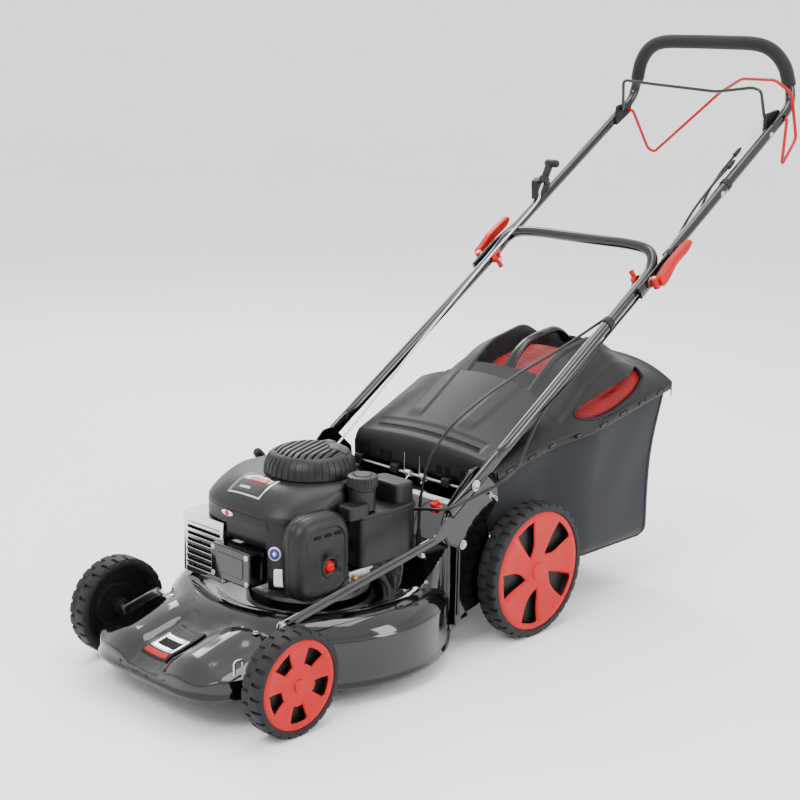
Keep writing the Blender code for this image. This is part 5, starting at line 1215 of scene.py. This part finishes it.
def lid():
    near = steps(0.0, 0.32, 10) + steps(0.34, 0.5, 20) + steps(0.52, 0.7, 12) + steps(0.7075,
        0.9925, 38) + [1.0]
    shares = [-s for s in near[:0:-1]] + near
    rings = []
    for y in steps(0.552, 0.785, 72) + steps(0.7875, 1.068, 108):
        half = bag_half(y) + 0.008
        line = [Vector((-half, y, lid_top(half, y) - 0.016)),
            Vector((-half, y, lid_top(half, y) - 0.004))]
        line += [Vector((s * half, y, lid_top(s * half, y))) for s in shares]
        line += [Vector((half, y, lid_top(half, y) - 0.004)),
            Vector((half, y, lid_top(half, y) - 0.016))]
        rings.append(line)
    last = rings[-1]
    rings.append([Vector((p.x, p.y + 0.0012, min(p.z, bag_rim(p.y) + 0.02) - 0.004)) for p in last])
    rings.append([Vector((p.x, p.y + 0.0015, min(p.z, bag_rim(p.y)) - 0.016)) for p in last])
    bm = skin(rings, wrap=False)
    cut_out(bm, lambda p: abs(p.x) > 0.1 and inside_leaf(p.y, p.z))
    build("lid_shell", bm, "matt_black", "grass_bag", "bag_lid", thick=0.0026, sharp=42,
        flip=(0, 0, 1))
    for one, sign in SIDES:
        edge, outer, inner, low = ([lid_side(y, z, sign, inward) for y, z in LEAF]
            for inward in (-0.0004, 0.0, 0.01, 0.009))
        build("window_lip_" + one, tube(edge + edge[:2], 0.0022, 12), "matt_black", "grass_bag",
            sharp=60)
        build("window_wall_" + one, skin([outer, inner]), "matt_black", "grass_bag", thick=0.0015,
            sharp=60)
        centre = sum(low, Vector()) / len(low)
        mesh = skin([[centre.lerp(p, t) for p in low] for t in (0.02, 0.35, 0.7, 1.0)])
        build("window_mesh_" + one, mesh, "red_mesh", "grass_bag", thick=0.001, sharp=80,
            flip=(sign, 0, 0))


lid()
arch = []
for t in steps(0, 1, 32):
    y = 0.792 + (0.981 - 0.792) * t
    arch.append(Vector((0, y, lid_top(0.03, y, False) + 0.008 * sin(pi * t) - 0.006 - 0.006
        * (2 * t - 1) ** 8)))
build("carry_grip", tube(arch, 0.0085, 28, lambda t: (1.35 + 0.5 * (2 * t - 1) ** 6, 0.78)),
    "gloss_black_plastic", "grass_bag", sharp=60)
floor_of = surface(lambda u, v: Vector((u, v, lid_top(u, v) + 0.0022)), steps(-0.073, 0.073, 24),
    steps(0.8015, 0.9735, 30))
build("recess_mesh", floor_of, "red_mesh", "grass_bag", "bag_inlay", thick=0.0016, sharp=60,
    flip=(0, 0, 1))
for one, sign in SIDES:
    rail = tube([Vector((sign * (bag_half(y) + 0.0088), y, bag_rim(y) - 0.006))
        for y in steps(0.556, 1.064, 60)], 0.0062, 16, lambda t: (0.4, 1.35))
    build("lid_rail_" + one, rail, "matt_black", "grass_bag", sharp=50)
    for i in range(8):
        y = 0.59 + i * 0.062
        x = sign * (bag_half(y) + 0.0108)
        z = bag_rim(y) - 0.0055
        # Each slot is a thin dark plate, painted shade in the opening; the clip beside it is gloss
        # black plastic.
        for kind, look, half, low, high, x0, x1, bevel in (("slot", "painted_shade_and_dark_print", 0.013, -0.0036,
                0.0036, -0.0006, 0.0006, 0.0), ("clip", "gloss_black_plastic", 0.0085, -0.002,
                0.0022, -0.0004, 0.0014, 0.0004)):
            rise = BAG_SLOPE * 0.013 * (1.0 if kind == "slot" else 0.7)
            outline = [(y - half, z - rise + low), (y + half, z + rise + low),
                (y + half, z + rise + high), (y - half, z - rise + high)]
            plate = slab(rounded_outline(outline, 0.002 if kind == "slot" else 0.001), x + x0,
                x + x1, "X")
            build("rail_%s_%s_%d" % (kind, one, i), plate, look, "grass_bag", bevel=bevel)


# ---------------------------------------------------------------- bag fabric
def fabric():
    """Tub of woven cloth: sides draw in between the corners, with slack folds near the floor."""
    rings = []
    stations = steps(BAG_FRONT, 0.8, 28) + steps(0.808, BAG_REAR, 26)
    for y in stations:
        half, rim, floor_z = bag_half(y), bag_rim(y) - 0.002, bag_floor(y)
        run = (y - BAG_FRONT) / (BAG_REAR - BAG_FRONT)
        line = []
        for t in steps(0, 1, 22):
            z = rim + (floor_z + 0.03 - rim) * t
            slack = 0.004 * sin(pi * t) * (0.4 + 0.6 * sin(pi * run)) + 0.0014 * sin(19 * run + 5
                * t) * sin(pi * t)
            line.append((half - 0.003 * t - slack, z))
        for q in steps(0, pi / 2, 8)[1:]:
            line.append((half - 0.003 - 0.03 * (1 - cos(q)), floor_z + 0.03 * (1 - sin(q))))
        for s in steps(0.83, 0.0, 10)[1:]:
            x = half * s
            line.append((x, floor_z - 0.0008 * sin(pi * s) - 0.0004))
        line += [(-x, z) for x, z in line[-2::-1]]
        ring = []
        for x, z in line:
            t = (z - floor_z) / (rim - floor_z)
            pull = 0.016 * sin(pi * min(1, max(0, t))) ** 1.3 * ease(run, 0.55, 1.0)
            ring.append(Vector((x, y + 0.036 * run * t - pull, z)))
        rings.append(ring)
    rear = []
    for p in rings[-1][:31]:
        row = []
        for t in steps(-1, 1, 40):
            across = 1 - t * t
            down = (p.z - floor_z) / (rim - floor_z)
            draw = 0.007 * across * sin(pi * min(1.0, max(0.0, down))) + 0.0012 * sin(14 * t + 4
                * down) * across
            row.append(Vector((-p.x * t, p.y - draw, p.z)))
        rear.append(row)
    cloth = join(skin(rings, wrap=False), skin(rear, wrap=False))
    build("bag_cloth", cloth, "fabric", "grass_bag", "bag_fabric", thick=0.0014, sharp=80,
        flip=(0, 1, 0))
    return rings


cloth_rings = fabric()
for one, column, nudge in (("left", 27, 0.0008), ("right", -28, -0.0008)):
    seam = [ring[column] + Vector((nudge, 0, -0.0004)) for ring in cloth_rings[:55]]
    build("hem_" + one, tube(seam, 0.0023, 12), "sheath", "grass_bag", sharp=60)
rear = [p + Vector((0, 0.0008, 0)) for p in cloth_rings[54]]
build("hem_rear", tube(rear, 0.002, 12), "fabric", "grass_bag", sharp=60)
for n, (fx, fy) in enumerate(((0.15, 0.985), (-0.15, 0.985), (0.15, 0.9), (-0.15, 0.9))):
    foot = lathe([(0.0, bag_floor(fy) - 0.0046), (0.008, bag_floor(fy) - 0.0046),
        (0.01, bag_floor(fy) - 0.003), (0.011, bag_floor(fy) + 0.001)], (fx, fy, 0), "Z", 28)
    build("bag_foot_%d" % n, foot, "matt_black", "grass_bag")

# ---------------------------------------------------------------- belt
loop = []
for centre, radius, start in ((Vector((0, DECK_Y, 0.108)), 0.0315, pi),
        (Vector((0, 0.594, 0.086)), 0.0335, 0.0)):
    for q in steps(start, start + pi, 24):
        out = Vector((cos(q), sin(q), 0))
        low, high = centre + out * radius, centre + out * (radius + 0.007)
        loop.append([low - Vector((0, 0, 0.0024)), high - Vector((0, 0, 0.0035)),
            high + Vector((0, 0, 0.0035)), low + Vector((0, 0, 0.0024))])
belt = build("vee_belt", skin(loop, closed_ends=True), "rubber", None, "drive_belt", sharp=40)
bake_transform(belt)

# ---------------------------------------------------------------- nodes that stay as they are
for part in frame["record"]["subparts"]:
    node = frame["nodes"][part["node"]]
    node.data.materials.clear()
    node.data.materials.append(M[part["material_slot"]])
    node.data.polygons.foreach_set("material_index", [0] * len(node.data.polygons))


# ---------------------------------------------------------------- lights and floor
world = bpy.data.worlds.new("studio")
world.use_nodes = True
world.node_tree.nodes["Background"].inputs["Color"].default_value = (1, 1, 1, 1)
world.node_tree.nodes["Background"].inputs["Strength"].default_value = 1.9
bpy.context.scene.world = world
floor_look = material("pale_floor", (0.9, 0.9, 0.9), 0.65, grain=0.02, scale=40, mottle=0.01,
    patches=2)
bowl = lathe([(0.01, 0.0), (1.5, 0.0), (9.0, 0.0)] + [(9.0 + 4.0 * sin(q), 4.0 * (1 - cos(q)))
    for q in steps(0.05, pi / 2, 16)] + [(13.0, 8.0)], (0, 0, 0), "Z", 96)
floor = link_mesh("floor", bowl, floor_look)


def softbox(name, place, target, wide, high, power):
    data = bpy.data.lights.new(name, "AREA")
    data.shape, data.size, data.size_y, data.energy = "RECTANGLE", wide, high, power
    made = bpy.data.objects.new(name, data)
    bpy.context.scene.collection.objects.link(made)
    made.location = place
    made.rotation_euler = (Vector(target) - Vector(place)).to_track_quat("-Z", "Y").to_euler()


softbox("key", (0.6, -2.8, 2.9), (0, 0, 0.4), 1.6, 1.2, 80)
softbox("side", (3.2, 0.9, 1.9), (0, 0, 0.4), 1.0, 1.8, 60)
softbox("rim", (-2.6, 1.2, 2.6), (0, 0.2, 0.5), 1.2, 1.6, 60)
softbox("above", (0.2, 0.2, 3.4), (0, 0, 0.3), 2.0, 1.4, 50)
